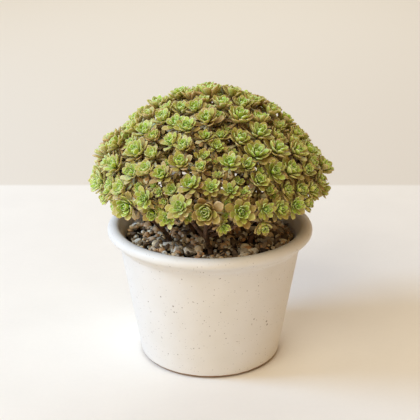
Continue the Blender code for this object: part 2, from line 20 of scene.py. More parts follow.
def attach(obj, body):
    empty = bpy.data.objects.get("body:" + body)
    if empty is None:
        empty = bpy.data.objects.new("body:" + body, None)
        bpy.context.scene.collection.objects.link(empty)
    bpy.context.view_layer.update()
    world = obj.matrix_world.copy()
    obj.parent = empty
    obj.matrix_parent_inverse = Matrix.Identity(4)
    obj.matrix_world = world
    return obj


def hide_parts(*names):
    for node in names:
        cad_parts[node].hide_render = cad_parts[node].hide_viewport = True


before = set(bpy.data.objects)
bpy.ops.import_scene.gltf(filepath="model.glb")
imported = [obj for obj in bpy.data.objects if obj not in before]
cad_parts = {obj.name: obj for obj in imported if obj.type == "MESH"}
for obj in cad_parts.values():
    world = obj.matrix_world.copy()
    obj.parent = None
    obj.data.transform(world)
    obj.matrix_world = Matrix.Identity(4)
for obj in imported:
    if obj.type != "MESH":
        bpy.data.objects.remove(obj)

LOG = logging.getLogger("potted_succulent")
MM = 0.001
BODY = "root"
GOLDEN_ANGLE = math.pi * (3.0 - math.sqrt(5.0))


# Colours and nodes.


def linear(code: str) -> tuple[float, float, float, float]:
    """Turns an sRGB hex code into the linear colour that a socket takes.

    Args:
        code: Six hex digits, such as "C8B090".

    Returns:
        Linear red, green, blue and an alpha of one.
    """
    channels = []
    for start in (0, 2, 4):
        value = int(code[start:start + 2], 16) / 255.0
        channels.append(value / 12.92 if value <= 0.04045 else ((value + 0.055) / 1.055) ** 2.4)
    return (channels[0], channels[1], channels[2], 1.0)


def add_node(
    tree: bpy.types.NodeTree,
    kind: str,
    settings: dict[str, object] | None = None,
    inputs: dict[str | int, object] | None = None,
) -> bpy.types.Node:
    """Adds a node with its settings, its constant inputs and the links that feed it.

    Args:
        tree: The node tree to add to.
        kind: The node's type name, such as "ShaderNodeTexNoise".
        settings: Properties of the node itself.
        inputs: Values by socket name or number; a socket as value is linked.

    Returns:
        The new node.
    """
    node = tree.nodes.new(kind)
    for name, value in (settings or {}).items():
        setattr(node, name, value)
    for name, value in (inputs or {}).items():
        if isinstance(value, bpy.types.NodeSocket):
            tree.links.new(value, node.inputs[name])
        else:
            node.inputs[name].default_value = value
    return node


def set_stops(ramp: bpy.types.Node, stops: Sequence[tuple[float, str]]) -> None:
    """Gives a colour ramp its stops.

    Args:
        ramp: A ColorRamp node.
        stops: Position from 0 to 1 and sRGB hex code of each stop, in rising order.
    """
    elements = ramp.color_ramp.elements
    while len(elements) > 1:
        elements.remove(elements[-1])
    elements[0].position, elements[0].color = stops[0][0], linear(stops[0][1])
    for position, code in stops[1:]:
        elements.new(position).color = linear(code)


def new_material(name: str) -> tuple[bpy.types.Material, bpy.types.NodeTree, bpy.types.Node]:
    """Starts a node material.

    Args:
        name: The material's name.

    Returns:
        The material, its node tree and its Principled shader.
    """
    material = bpy.data.materials.new(name)
    material.use_nodes = True
    tree = material.node_tree
    return material, tree, tree.nodes["Principled BSDF"]


# Modelling by operators.


def deselect_everything() -> None:
    """Goes to object mode with nothing selected."""
    if bpy.context.mode != "OBJECT":
        bpy.ops.object.mode_set(mode="OBJECT")
    bpy.ops.object.select_all(action="DESELECT")


@contextmanager
def editing(item: bpy.types.Object) -> Iterator[None]:
    """Opens one object in edit mode with all of it selected, and closes it again.

    Args:
        item: The mesh object to edit.
    """
    deselect_everything()
    item.select_set(True)
    bpy.context.view_layer.objects.active = item
    bpy.ops.object.mode_set(mode="EDIT")
    bpy.ops.mesh.select_mode(type="VERT")
    bpy.ops.mesh.select_all(action="SELECT")
    yield
    bpy.ops.object.mode_set(mode="OBJECT")
    item.select_set(False)


def select_where(item: bpy.types.Object, test: Callable[[Vector], bool]) -> None:
    """Selects, in edit mode, the vertices whose place passes a test.

    Args:
        item: The object in edit mode.
        test: Says of a vertex's place whether it is selected.
    """
    mesh = bmesh.from_edit_mesh(item.data)
    for vert in mesh.verts:
        vert.select_set(False)
    for vert in mesh.verts:
        if test(vert.co):
            vert.select_set(True)
    mesh.select_flush_mode()
    bmesh.update_edit_mesh(item.data)


def extruded(step: Vector, scale: tuple[float, float, float], centre: Vector) -> None:
    """Extrudes what is selected by a step and then resizes it about a centre.

    Args:
        step: How far the new ring moves, in metres.
        scale: Its size against the ring before it, along x, y and z.
        centre: The point that it is resized about.
    """
    bpy.ops.mesh.extrude_region_move(TRANSFORM_OT_translate={"value": step})
    bpy.ops.transform.resize(value=scale, center_override=centre)


def apply_modifier(item: bpy.types.Object, kind: str, **settings: object) -> None:
    """Adds a modifier with its settings and applies it.

    Args:
        item: The object that is modified.
        kind: The modifier's type, such as "SUBSURF".
        **settings: The modifier's own properties.
    """
    modifier = item.modifiers.new(kind.title(), kind)
    for name, value in settings.items():
        setattr(modifier, name, value)
    deselect_everything()
    item.select_set(True)
    bpy.context.view_layer.objects.active = item
    bpy.ops.object.modifier_apply(modifier=modifier.name)
    item.select_set(False)


def subdivide_surface(item: bpy.types.Object, levels: int) -> None:
    """Rounds a mesh by subdivision, with the same levels in the view and the render."""
    apply_modifier(item, "SUBSURF", levels=levels, render_levels=levels)


def smooth_by_angle(item: bpy.types.Object, degrees: float) -> None:
    """Shades an object smooth except across edges sharper than an angle."""
    deselect_everything()
    item.select_set(True)
    bpy.context.view_layer.objects.active = item
    bpy.ops.object.shade_smooth_by_angle(angle=math.radians(degrees))
    item.select_set(False)


def close_up(item: bpy.types.Object, distance: float) -> None:
    """Merges doubled vertices and turns all faces outwards."""
    with editing(item):
        bpy.ops.mesh.remove_doubles(threshold=distance)
        bpy.ops.mesh.select_all(action="SELECT")
        bpy.ops.mesh.normals_make_consistent(inside=False)


def settled(item: bpy.types.Object, name: str) -> bpy.types.Object:
    """Names an object and puts its place, turn and size into its mesh.

    Args:
        item: The object to finish.
        name: Its name as a piece.

    Returns:
        The same object.
    """
    item.name = item.data.name = name
    deselect_everything()
    item.select_set(True)
    bpy.context.view_layer.objects.active = item
    bpy.ops.object.transform_apply(location=True, rotation=True, scale=True)
    item.select_set(False)
    return item


def dressed(item: bpy.types.Object, material: bpy.types.Material) -> None:
    """Gives a piece its one material."""
    item.data.materials.clear()
    item.data.materials.append(material)


# Shapes that are modelled once and copied.


@dataclass(frozen=True)
class Template:
    """A small shape as arrays, from which copies are made."""

    points: np.ndarray
    corners: np.ndarray
    starts: np.ndarray

    @classmethod
    def taken_from(cls, item: bpy.types.Object) -> "Template":
        """Reads a modelled object's mesh, and removes the object.

        Args:
            item: The modelled object.

        Returns:
            The shape as arrays.
        """
        mesh = item.data
        points = np.empty(len(mesh.vertices) * 3)
        mesh.vertices.foreach_get("co", points)
        corners = np.empty(len(mesh.loops), dtype=np.int32)
        mesh.loops.foreach_get("vertex_index", corners)
        starts = np.empty(len(mesh.polygons), dtype=np.int32)
        mesh.polygons.foreach_get("loop_start", starts)
        bpy.data.objects.remove(item, do_unlink=True)
        return cls(points.reshape(-1, 3), corners, starts)


@dataclass
class Copies:
    """Copies of templates that are gathered into one piece, with a few values at each point."""

    points: list[np.ndarray] = field(default_factory=list)
    corners: list[np.ndarray] = field(default_factory=list)
    starts: list[np.ndarray] = field(default_factory=list)
    values: dict[str, list[np.ndarray]] = field(default_factory=dict)
    point_count: int = 0
    corner_count: int = 0

    def add(self, template: Template, points: np.ndarray, **values: float | np.ndarray) -> None:
        """Adds one copy.

        Args:
            template: The shape that is copied.
            points: Where its vertices lie, in metres.
            **values: A value for the whole copy, or one for each vertex, by attribute name.
        """
        self.points.append(points)
        self.corners.append(template.corners + self.point_count)
        self.starts.append(template.starts + self.corner_count)
        for name, value in values.items():
            spread = np.broadcast_to(np.asarray(value, dtype=float), (len(points),))
            self.values.setdefault(name, []).append(spread)
        self.point_count += len(points)
        self.corner_count += len(template.corners)

    def piece(self, name: str) -> bpy.types.Object:
        """Makes one mesh object of all the copies.

        Args:
            name: The piece's name.

        Returns:
            The new object.
        """
        mesh = bpy.data.meshes.new(name)
        corners = np.concatenate(self.corners)
        starts = np.concatenate(self.starts)
        mesh.vertices.add(self.point_count)
        mesh.vertices.foreach_set("co", np.concatenate(self.points).ravel())
        mesh.loops.add(len(corners))
        mesh.loops.foreach_set("vertex_index", corners)
        mesh.polygons.add(len(starts))
        mesh.polygons.foreach_set("loop_start", starts)
        mesh.update(calc_edges=True)
        mesh.shade_smooth()
        for attribute, parts in self.values.items():
            layer = mesh.attributes.new(attribute, "FLOAT", "POINT")
            layer.data.foreach_set("value", np.concatenate(parts))
        item = bpy.data.objects.new(name, mesh)
        bpy.context.scene.collection.objects.link(item)
        return item


# Finishes.


@dataclass(frozen=True)
class StonewareGlaze:
    """Matt off-white glaze on stoneware, fired with iron specks.

    The eye gets a chalky sheen, a faint cloudiness, scattered brown and grey specks and a bare
    brown foot where the glaze was wiped off.
    """

    light: str = "EEEAE5"
    cloud: str = "E4DFD6"
    foot: str = "8C6A4A"
    speck: str = "6E5238"
    grey_speck: str = "8F8980"
    glaze_line: float = 1.7
    roughness: float = 0.52

    def specks(
        self,
        tree: bpy.types.NodeTree,
        place: bpy.types.NodeSocket,
        spacing: float,
        radius: float,
    ) -> bpy.types.NodeSocket:
        """A layer of round specks scattered through the glaze.

        Args:
            tree: The material's node tree.
            place: The socket with the object's coordinates.
            spacing: Mean distance between specks in the glaze, in millimetres.
            radius: Radius of the largest specks, in millimetres.

        Returns:
            A socket that is one inside a speck and zero outside.
        """
        cells = add_node(
            tree, "ShaderNodeTexVoronoi", {}, {"Vector": place, "Scale": 1.0 / (spacing * MM)}
        )
        spread = add_node(
            tree, "ShaderNodeSeparateColor", {}, {"Color": cells.outputs["Color"]}
        )
        reach = add_node(
            tree, "ShaderNodeMath", {"operation": "MULTIPLY"},
            {0: spread.outputs["Red"], 1: radius / spacing},
        )
        inside = add_node(
            tree, "ShaderNodeMath", {"operation": "SUBTRACT"},
            {0: reach.outputs[0], 1: cells.outputs["Distance"]},
        )
        edge = add_node(
            tree, "ShaderNodeMapRange", {},
            {"Value": inside.outputs[0], "From Min": 0.0, "From Max": 0.12 * radius / spacing},
        )
        return edge.outputs["Result"]

    def material(self) -> bpy.types.Material:
        """The glaze as a material on object coordinates."""
        material, tree, shader = new_material("matt_speckled_stoneware_glaze")
        place = add_node(tree, "ShaderNodeTexCoord").outputs["Object"]
        clouds = add_node(
            tree, "ShaderNodeTexNoise", {}, {"Vector": place, "Scale": 1.0 / (16 * MM), "Detail": 3.0}
        )
        colour = add_node(
            tree, "ShaderNodeMix", {"data_type": "RGBA"},
            {0: clouds.outputs["Fac"], 6: linear(self.light), 7: linear(self.cloud)},
        ).outputs[2]
        for code, spacing, radius, strength in (
            (self.grey_speck, 1.7, 0.34, 0.45),
            (self.speck, 3.0, 0.46, 0.50),
            (self.speck, 6.5, 0.72, 0.60),
        ):
            mask = self.specks(tree, place, spacing, radius)
            faded = add_node(
                tree, "ShaderNodeMath", {"operation": "MULTIPLY"}, {0: mask, 1: strength}
            )
            colour = add_node(
                tree, "ShaderNodeMix", {"data_type": "RGBA"},
                {0: faded.outputs[0], 6: colour, 7: linear(code)},
            ).outputs[2]
        height = add_node(tree, "ShaderNodeSeparateXYZ", {}, {"Vector": place}).outputs["Z"]
        waver = add_node(
            tree, "ShaderNodeTexNoise", {}, {"Vector": place, "Scale": 1.0 / (7 * MM)}
        )
        line = add_node(
            tree, "ShaderNodeMath", {"operation": "MULTIPLY_ADD"},
            {0: waver.outputs["Fac"], 1: 1.2 * MM, 2: height},
        )
        bare = add_node(
            tree, "ShaderNodeMapRange", {},
            {
                "Value": line.outputs[0],
                "From Min": (self.glaze_line + 0.5) * MM,
                "From Max": (self.glaze_line + 0.9) * MM,
                "To Min": 1.0,
                "To Max": 0.0,
            },
        )
        colour = add_node(
            tree, "ShaderNodeMix", {"data_type": "RGBA"},
            {0: bare.outputs["Result"], 6: colour, 7: linear(self.foot)},
        ).outputs[2]
        ripple = add_node(
            tree, "ShaderNodeTexNoise", {}, {"Vector": place, "Scale": 1.0 / (1.1 * MM), "Detail": 3.0}
        )
        bump = add_node(
            tree, "ShaderNodeBump", {},
            {"Height": ripple.outputs["Fac"], "Strength": 0.25, "Distance": 0.06 * MM},
        )
        tree.links.new(colour, shader.inputs["Base Color"])
        tree.links.new(bump.outputs["Normal"], shader.inputs["Normal"])
        shader.inputs["Roughness"].default_value = self.roughness
        shader.inputs["IOR"].default_value = 1.5
        return material


@dataclass(frozen=True)
class PottingSoil:
    """Damp peat-based potting soil: near black crumbs with brown fibres and no shine."""

    name: str = "damp_potting_soil"
    dark: str = "1E1712"
    fibre: str = "54402F"
    crumb: float = 2.4

    def material(self) -> bpy.types.Material:
        """The soil as a material on object coordinates."""
        material, tree, shader = new_material(self.name)
        place = add_node(tree, "ShaderNodeTexCoord").outputs["Object"]
        crumbs = add_node(
            tree, "ShaderNodeTexNoise", {},
            {"Vector": place, "Scale": 1.0 / (self.crumb * MM), "Detail": 6.0, "Roughness": 0.7},
        )
        ramp = add_node(tree, "ShaderNodeValToRGB", {}, {"Fac": crumbs.outputs["Fac"]})
        set_stops(ramp, [(0.40, self.dark), (0.62, "35281E"), (0.72, self.fibre)])
        bump = add_node(
            tree, "ShaderNodeBump", {},
            {"Height": crumbs.outputs["Fac"], "Strength": 0.9, "Distance": 0.8 * MM},
        )
        tree.links.new(ramp.outputs["Color"], shader.inputs["Base Color"])
        tree.links.new(bump.outputs["Normal"], shader.inputs["Normal"])
        shader.inputs["Roughness"].default_value = 0.95
        return material


class StoneKind(Enum):
    """The sorts of grain in the top dressing."""

    LAVA = "lava_grit"
    PUMICE = "pumice_grit"
    RIVER = "river_pebbles"
    BARK = "bark_chips"


@dataclass(frozen=True)
class GrainFinish:
    """Finish of one sort of grain: the tone attribute picks each grain's colour from the ramp."""

    name: str
    stops: tuple[tuple[float, str], ...]
    mottle: float
    mottle_share: float
    pit_depth: float
    roughness: float

    def material(self) -> bpy.types.Material:
        """The grains as a material on object coordinates and the tone of each grain."""
        material, tree, shader = new_material(self.name)
        place = add_node(tree, "ShaderNodeTexCoord").outputs["Object"]
        tone = add_node(tree, "ShaderNodeAttribute", {"attribute_name": "tone"}).outputs["Fac"]
        noise = add_node(
            tree, "ShaderNodeTexNoise", {},
            {"Vector": place, "Scale": 1.0 / (self.mottle * MM), "Detail": 5.0, "Roughness": 0.65},
        )
        ramp = add_node(tree, "ShaderNodeValToRGB", {}, {"Fac": tone})
        set_stops(ramp, self.stops)
        shade = add_node(
            tree, "ShaderNodeMapRange", {},
            {
                "Value": noise.outputs["Fac"],
                "From Min": 0.30,
                "From Max": 0.70,
                "To Min": 1.0 - self.mottle_share,
                "To Max": 1.0 + self.mottle_share,
            },
        )
        colour = add_node(
            tree, "ShaderNodeVectorMath", {"operation": "SCALE"},
            {0: ramp.outputs["Color"], "Scale": shade.outputs["Result"]},
        )
        bump = add_node(
            tree, "ShaderNodeBump", {},
            {"Height": noise.outputs["Fac"], "Strength": 0.8, "Distance": self.pit_depth * MM},
        )
        tree.links.new(colour.outputs[0], shader.inputs["Base Color"])
        tree.links.new(bump.outputs["Normal"], shader.inputs["Normal"])
        shader.inputs["Roughness"].default_value = self.roughness
        return material


GRAIN_FINISHES: dict[StoneKind, GrainFinish] = {
    # Crushed lava: black-brown to grey-brown, rough and full of pores.
    StoneKind.LAVA: GrainFinish(
        "crushed_lava",
        ((0.0, "3E332C"), (0.3, "6E5C4C"), (0.6, "A58C70"), (0.8, "7C6850"), (1.0, "C0A684")),
        0.7, 0.35, 0.25, 0.9,
    ),
    # Pumice and slate chips: warm grey to chalky white, dry.
    StoneKind.PUMICE: GrainFinish(
        "pumice_and_slate_chips",
        ((0.0, "A79C8C"), (0.3, "CFC4B2"), (0.6, "E8DECB"), (0.8, "F2E8D4"), (1.0, "C4B295")),
        0.9, 0.22, 0.15, 0.85,
    ),
    # Water-worn quartz and sandstone: tan, orange and cream, smooth with a dull polish.
    StoneKind.RIVER: GrainFinish(
        "water_worn_pebbles",
        ((0.0, "D19762"), (0.25, "E0B787"), (0.5, "EED6AB"), (0.75, "F5E8CB"), (1.0, "C6905F")),
        1.4, 0.16, 0.05, 0.6,
    ),
    # Composted bark: brown, fibrous and curled, bleached where it has dried.
    StoneKind.BARK: GrainFinish(
        "composted_bark",
        ((0.0, "604A38"), (0.5, "A08462"), (1.0, "D4BA90")),
        0.8, 0.35, 0.2, 0.9,
    ),
}


@dataclass(frozen=True)
class SucculentLeaf:
    """Living leaf of a small rosette succulent.

    Fleshy and waxy: a soft sheen, light that glows through the thin edge, lime green at the
    heart, paler with age, tan to red-brown along the margin, and brown when it has dried. The
    pale young margin is partly a painted edge highlight. Leaves are painted paler, with a
    painted sheen, on the lamp side, and darker olive, a painted shade, on the other side.
    """

    name: str = "waxy_succulent_leaf"
    ages: tuple[tuple[float, str], ...] = (
        (0.00, "93C432"),
        (0.20, "AECD48"),
        (0.42, "C4D15E"),
        (0.60, "C8C766"),
        (0.74, "C8B76C"),
        (0.86, "C4A46E"),
        (0.94, "AC895E"),
        (1.00, "7A5939"),
    )
    # Pale cream of a young leaf's margin, partly its own colour and partly a painted edge highlight.
    young_edge_and_highlight: str = "F0F0B8"
    old_edge: str = "DDB882"
    # Dark olive that a high tone mixes in: partly tone that differs at random, partly painted shade on the
    # side away from the lamp.
    olive_and_painted_shade: str = "76802C"
    # Pale whitish green that a low tone mixes in: a waxy bloom that is partly a painted sheen, with more of
    # it on the lamp side.
    bloom_and_painted_sheen: str = "E4E8B8"
    roughness: float = 0.38

    def material(self) -> bpy.types.Material:
        """The leaf as a material on its own attributes, with fine detail on object coordinates."""
        material, tree, shader = new_material(self.name)
        place = add_node(tree, "ShaderNodeTexCoord").outputs["Object"]
        age = add_node(tree, "ShaderNodeAttribute", {"attribute_name": "age"}).outputs["Fac"]
        tone = add_node(tree, "ShaderNodeAttribute", {"attribute_name": "tone"}).outputs["Fac"]
        margin = add_node(tree, "ShaderNodeAttribute", {"attribute_name": "margin"}).outputs["Fac"]
        along = add_node(tree, "ShaderNodeAttribute", {"attribute_name": "along"}).outputs["Fac"]
        mottle = add_node(
            tree, "ShaderNodeTexNoise", {}, {"Vector": place, "Scale": 1.0 / (2.2 * MM), "Detail": 4.0}
        )
        wandering = add_node(
            tree, "ShaderNodeMath", {"operation": "MULTIPLY_ADD"},
            {0: mottle.outputs["Fac"], 1: 0.16, 2: age},
        )
        shifted = add_node(
            tree, "ShaderNodeMath", {"operation": "SUBTRACT"}, {0: wandering.outputs[0], 1: 0.08}
        )
        flesh = add_node(tree, "ShaderNodeValToRGB", {}, {"Fac": shifted.outputs[0]})
        set_stops(flesh, self.ages)
        # Painted shade: a high tone, which is higher on the side away from the lamp, darkens the flesh
        # towards olive.
        olive_and_shade_share = add_node(
            tree, "ShaderNodeMapRange", {},
            {"Value": tone, "From Min": 0.48, "From Max": 1.0, "To Min": 0.0, "To Max": 0.70},
        )
        colour = add_node(
            tree, "ShaderNodeMix", {"data_type": "RGBA"},
            {0: olive_and_shade_share.outputs["Result"], 6: flesh.outputs["Color"], 7: linear(self.olive_and_painted_shade)},
        ).outputs[2]
        # Painted sheen: a low tone, which is lower on the lamp side, pales the leaf towards a whitish green
        # bloom.
        bloom_and_sheen_share = add_node(
            tree, "ShaderNodeMapRange", {},
            {"Value": tone, "From Min": 0.46, "From Max": 0.05, "To Min": 0.0, "To Max": 0.65},
        )
        colour = add_node(
            tree, "ShaderNodeMix", {"data_type": "RGBA"},
            {0: bloom_and_sheen_share.outputs["Result"], 6: colour, 7: linear(self.bloom_and_painted_sheen)},
        ).outputs[2]
        # Margin: pale cream on young leaves, partly a painted edge highlight, and tan on old ones.
        edge = add_node(
            tree, "ShaderNodeMapRange", {"interpolation_type": "SMOOTHSTEP"},
            {"Value": margin, "From Min": 0.60, "From Max": 0.95},
        )
        edge_age = add_node(
            tree, "ShaderNodeMapRange", {"interpolation_type": "SMOOTHSTEP"},
            {"Value": shifted.outputs[0], "From Min": 0.30, "From Max": 0.62},
        )
        edge_and_highlight_colour = add_node(
            tree, "ShaderNodeMix", {"data_type": "RGBA"},
            {0: edge_age.outputs["Result"], 6: linear(self.young_edge_and_highlight), 7: linear(self.old_edge)},
        )
        edge_and_highlight_share = add_node(
            tree, "ShaderNodeMath", {"operation": "MULTIPLY"}, {0: edge.outputs["Result"], 1: 0.8}
        )
        colour = add_node(
            tree, "ShaderNodeMix", {"data_type": "RGBA"},
            {0: edge_and_highlight_share.outputs[0], 6: colour, 7: edge_and_highlight_colour.outputs[2]},
        ).outputs[2]
        shade = add_node(
            tree, "ShaderNodeMapRange", {},
            {"Value": along, "From Min": 0.0, "From Max": 0.55, "To Min": 0.78, "To Max": 1.0},
        )
        shaded = add_node(
            tree, "ShaderNodeVectorMath", {"operation": "SCALE"},
            {0: colour, "Scale": shade.outputs["Result"]},
        )
        skin = add_node(
            tree, "ShaderNodeTexNoise", {}, {"Vector": place, "Scale": 1.0 / (0.45 * MM), "Detail": 2.0}
        )
        bump = add_node(
            tree, "ShaderNodeBump", {},
            {"Height": skin.outputs["Fac"], "Strength": 0.3, "Distance": 0.05 * MM},
        )
        tree.links.new(shaded.outputs[0], shader.inputs["Base Color"])
        tree.links.new(bump.outputs["Normal"], shader.inputs["Normal"])
        shader.inputs["Roughness"].default_value = self.roughness
        shader.inputs["Subsurface Weight"].default_value = 0.18
        shader.inputs["Subsurface Radius"].default_value = (0.7, 1.0, 0.25)
        shader.inputs["Subsurface Scale"].default_value = 0.9 * MM
        shader.inputs["IOR"].default_value = 1.42
        return material


@dataclass(frozen=True)
class WoodyStem:
    """Thin corky bark of a shrubby succulent: grey-brown with reddish young wood, dull."""

    old: str = "5C4535"
    young: str = "86634A"
    scar: str = "35261C"

    def material(self) -> bpy.types.Material:
        """The bark as a material on object coordinates."""
        material, tree, shader = new_material("corky_stem_bark")
        place = add_node(tree, "ShaderNodeTexCoord").outputs["Object"]
        patches = add_node(
            tree, "ShaderNodeTexNoise", {}, {"Vector": place, "Scale": 1.0 / (3 * MM), "Detail": 5.0}
        )
        ramp = add_node(tree, "ShaderNodeValToRGB", {}, {"Fac": patches.outputs["Fac"]})
        set_stops(ramp, [(0.35, self.scar), (0.48, self.old), (0.68, self.young)])
        bump = add_node(
            tree, "ShaderNodeBump", {},
            {"Height": patches.outputs["Fac"], "Strength": 0.8, "Distance": 0.3 * MM},
        )
        tree.links.new(ramp.outputs["Color"], shader.inputs["Base Color"])
        tree.links.new(bump.outputs["Normal"], shader.inputs["Normal"])
        shader.inputs["Roughness"].default_value = 0.85
        return material


@dataclass(frozen=True)
class PaleSurface:
    """Plain pale cloth-covered board that the pot stands on, lighter up to its far edge."""

    near: str = "F1EBE2"
    far: str = "E3DACD"
    edge: float = 289.0

    def material(self) -> bpy.types.Material:
        """The floor as a material on object coordinates."""
        material, tree, shader = new_material("pale_matt_board")
        place = add_node(tree, "ShaderNodeTexCoord").outputs["Object"]
        depth = add_node(tree, "ShaderNodeSeparateXYZ", {}, {"Vector": place}).outputs["Y"]
        beyond = add_node(
            tree, "ShaderNodeMapRange", {"interpolation_type": "SMOOTHSTEP"},
            {"Value": depth, "From Min": self.edge * MM, "From Max": (self.edge + 8.0) * MM},
        )
        colour = add_node(
            tree, "ShaderNodeMix", {"data_type": "RGBA"},
            {0: beyond.outputs["Result"], 6: linear(self.near), 7: linear(self.far)},
        )
        # Broad soft patches and the fine weave make the tone a few per cent lighter and darker in places.
        broad_patches = add_node(
            tree, "ShaderNodeTexNoise", {}, {"Vector": place, "Scale": 1.0 / (45 * MM), "Detail": 2.0}
        )
        weave = add_node(
            tree, "ShaderNodeTexNoise", {}, {"Vector": place, "Scale": 1.0 / (2.5 * MM), "Detail": 2.0}
        )
        together = add_node(
            tree, "ShaderNodeMath", {"operation": "MULTIPLY_ADD"},
            {0: weave.outputs["Fac"], 1: 0.45, 2: broad_patches.outputs["Fac"]},
        )
        tone = add_node(
            tree, "ShaderNodeMapRange", {},
            {
                "Value": together.outputs[0],
                "From Min": 0.4,
                "From Max": 1.05,
                "To Min": 0.975,
                "To Max": 1.02,
            },
        )
        evened = add_node(
            tree, "ShaderNodeMix", {"data_type": "FLOAT"},
            {0: beyond.outputs["Result"], 2: tone.outputs["Result"], 3: 1.0},
        )
        toned = add_node(
            tree, "ShaderNodeVectorMath", {"operation": "SCALE"},
            {0: colour.outputs[2], "Scale": evened.outputs[0]},
        )
        tree.links.new(toned.outputs[0], shader.inputs["Base Color"])
        shader.inputs["Roughness"].default_value = 0.95
        shader.inputs["Specular IOR Level"].default_value = 0.1
        return material


# The pot and what fills it.


@dataclass
class Pot:
    """A turned stoneware pot: tapered wall, rolled rim with a small step under it, and a foot ring."""

    rim_radius: float = 60.0
    height: float = 80.5
    foot_radius: float = 41.3
    taper: float = 0.167
    wall: float = 3.7
    sides: int = 96

    def outside(self, height: float) -> float:
        """Outer radius of the wall at a height."""
        return self.foot_radius + self.taper * height

    def inside(self, height: float) -> float:
        """Inner radius of the wall at a height."""
        return self.outside(height) - self.wall

    def profile(self) -> list[tuple[float, float]]:
        """Radius and height of each ring, from the foot up the outside and down the inside."""
        rim, top = self.rim_radius, self.height
        return [
            (33.5, 0.5),
            (34.3, 0.0),
            (39.3, 0.0),
            (40.3, 0.25),
            (self.outside(1.4), 1.4),
            (self.outside(3.0), 3.0),
            (self.outside(20.0), 20.0),
            (self.outside(45.0), 45.0),
            (self.outside(66.5), 66.5),
            (self.outside(70.2), 70.2),
            (self.outside(71.0) + 0.7, 71.0),
            (self.outside(72.0) + 1.7, 71.9),
            (self.outside(73.2) + 2.2, 73.2),
            (self.outside(74.3) + 2.3, 74.5),
            (rim - 2.6, 74.8),
            (rim - 0.8, 75.7),
            (rim, 77.6),
            (rim - 0.6, 79.6),
            (rim - 2.4, top + 0.6),
            (rim - 5.0, top + 0.7),
            (rim - 6.9, top - 0.2),
            (rim - 7.9, 78.2),
            (self.inside(74.5), 74.5),
            (self.inside(60.0), 60.0),
            (self.inside(30.0), 30.0),
            (self.inside(10.0), 10.0),
            (self.inside(8.0) - 1.4, 7.0),
            (self.inside(8.0) - 4.0, 6.0),
            (20.0, 6.0),
            (6.0, 6.0),
            (5.5, 5.5),
            (5.5, 2.0),
            (6.0, 1.5),
            (20.0, 1.5),
            (32.5, 1.5),
        ]

    def build(self) -> bpy.types.Object:
        """Turns the pot from one ring that is extruded along the profile.

        Returns:
            The pot as one closed piece.
        """
        profile = self.profile()
        radius, height = profile[0]
        deselect_everything()
        bpy.ops.mesh.primitive_circle_add(
            vertices=self.sides, radius=radius * MM, location=(0, 0, height * MM)
        )
        pot = settled(bpy.context.active_object, "glazed_pot")
        with editing(pot):
            for (radius, height), (next_radius, next_height) in zip(profile, profile[1:]):
                growth = next_radius / radius
                step = Vector((0, 0, (next_height - height) * MM))
                extruded(step, (growth, growth, 1.0), Vector())
            first = profile[0]
            last = profile[-1]
            select_where(
                pot,
                lambda spot: any(
                    abs(spot.z - height * MM) < 0.01 * MM
                    and abs(spot.xy.length - radius * MM) < 0.05 * MM
                    for radius, height in (first, last)
                ),
            )
            bpy.ops.mesh.bridge_edge_loops()
        close_up(pot, 0.01 * MM)
        subdivide_surface(pot, 1)
        smooth_by_angle(pot, 60)
        return pot

    def make(self) -> None:
        """Builds and dresses the pot."""
        pot = self.build()
        dressed(pot, StonewareGlaze().material())
        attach(pot, BODY)
        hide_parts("pot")
        LOG.info("pot: %d faces", len(pot.data.polygons))


@dataclass
class Grain:
    """One stone to be laid: its sort, its half sizes, its place and its turn."""

    kind: StoneKind
    half: np.ndarray
    spot: Vector
    tone: float
    turn: Matrix
    shape: int


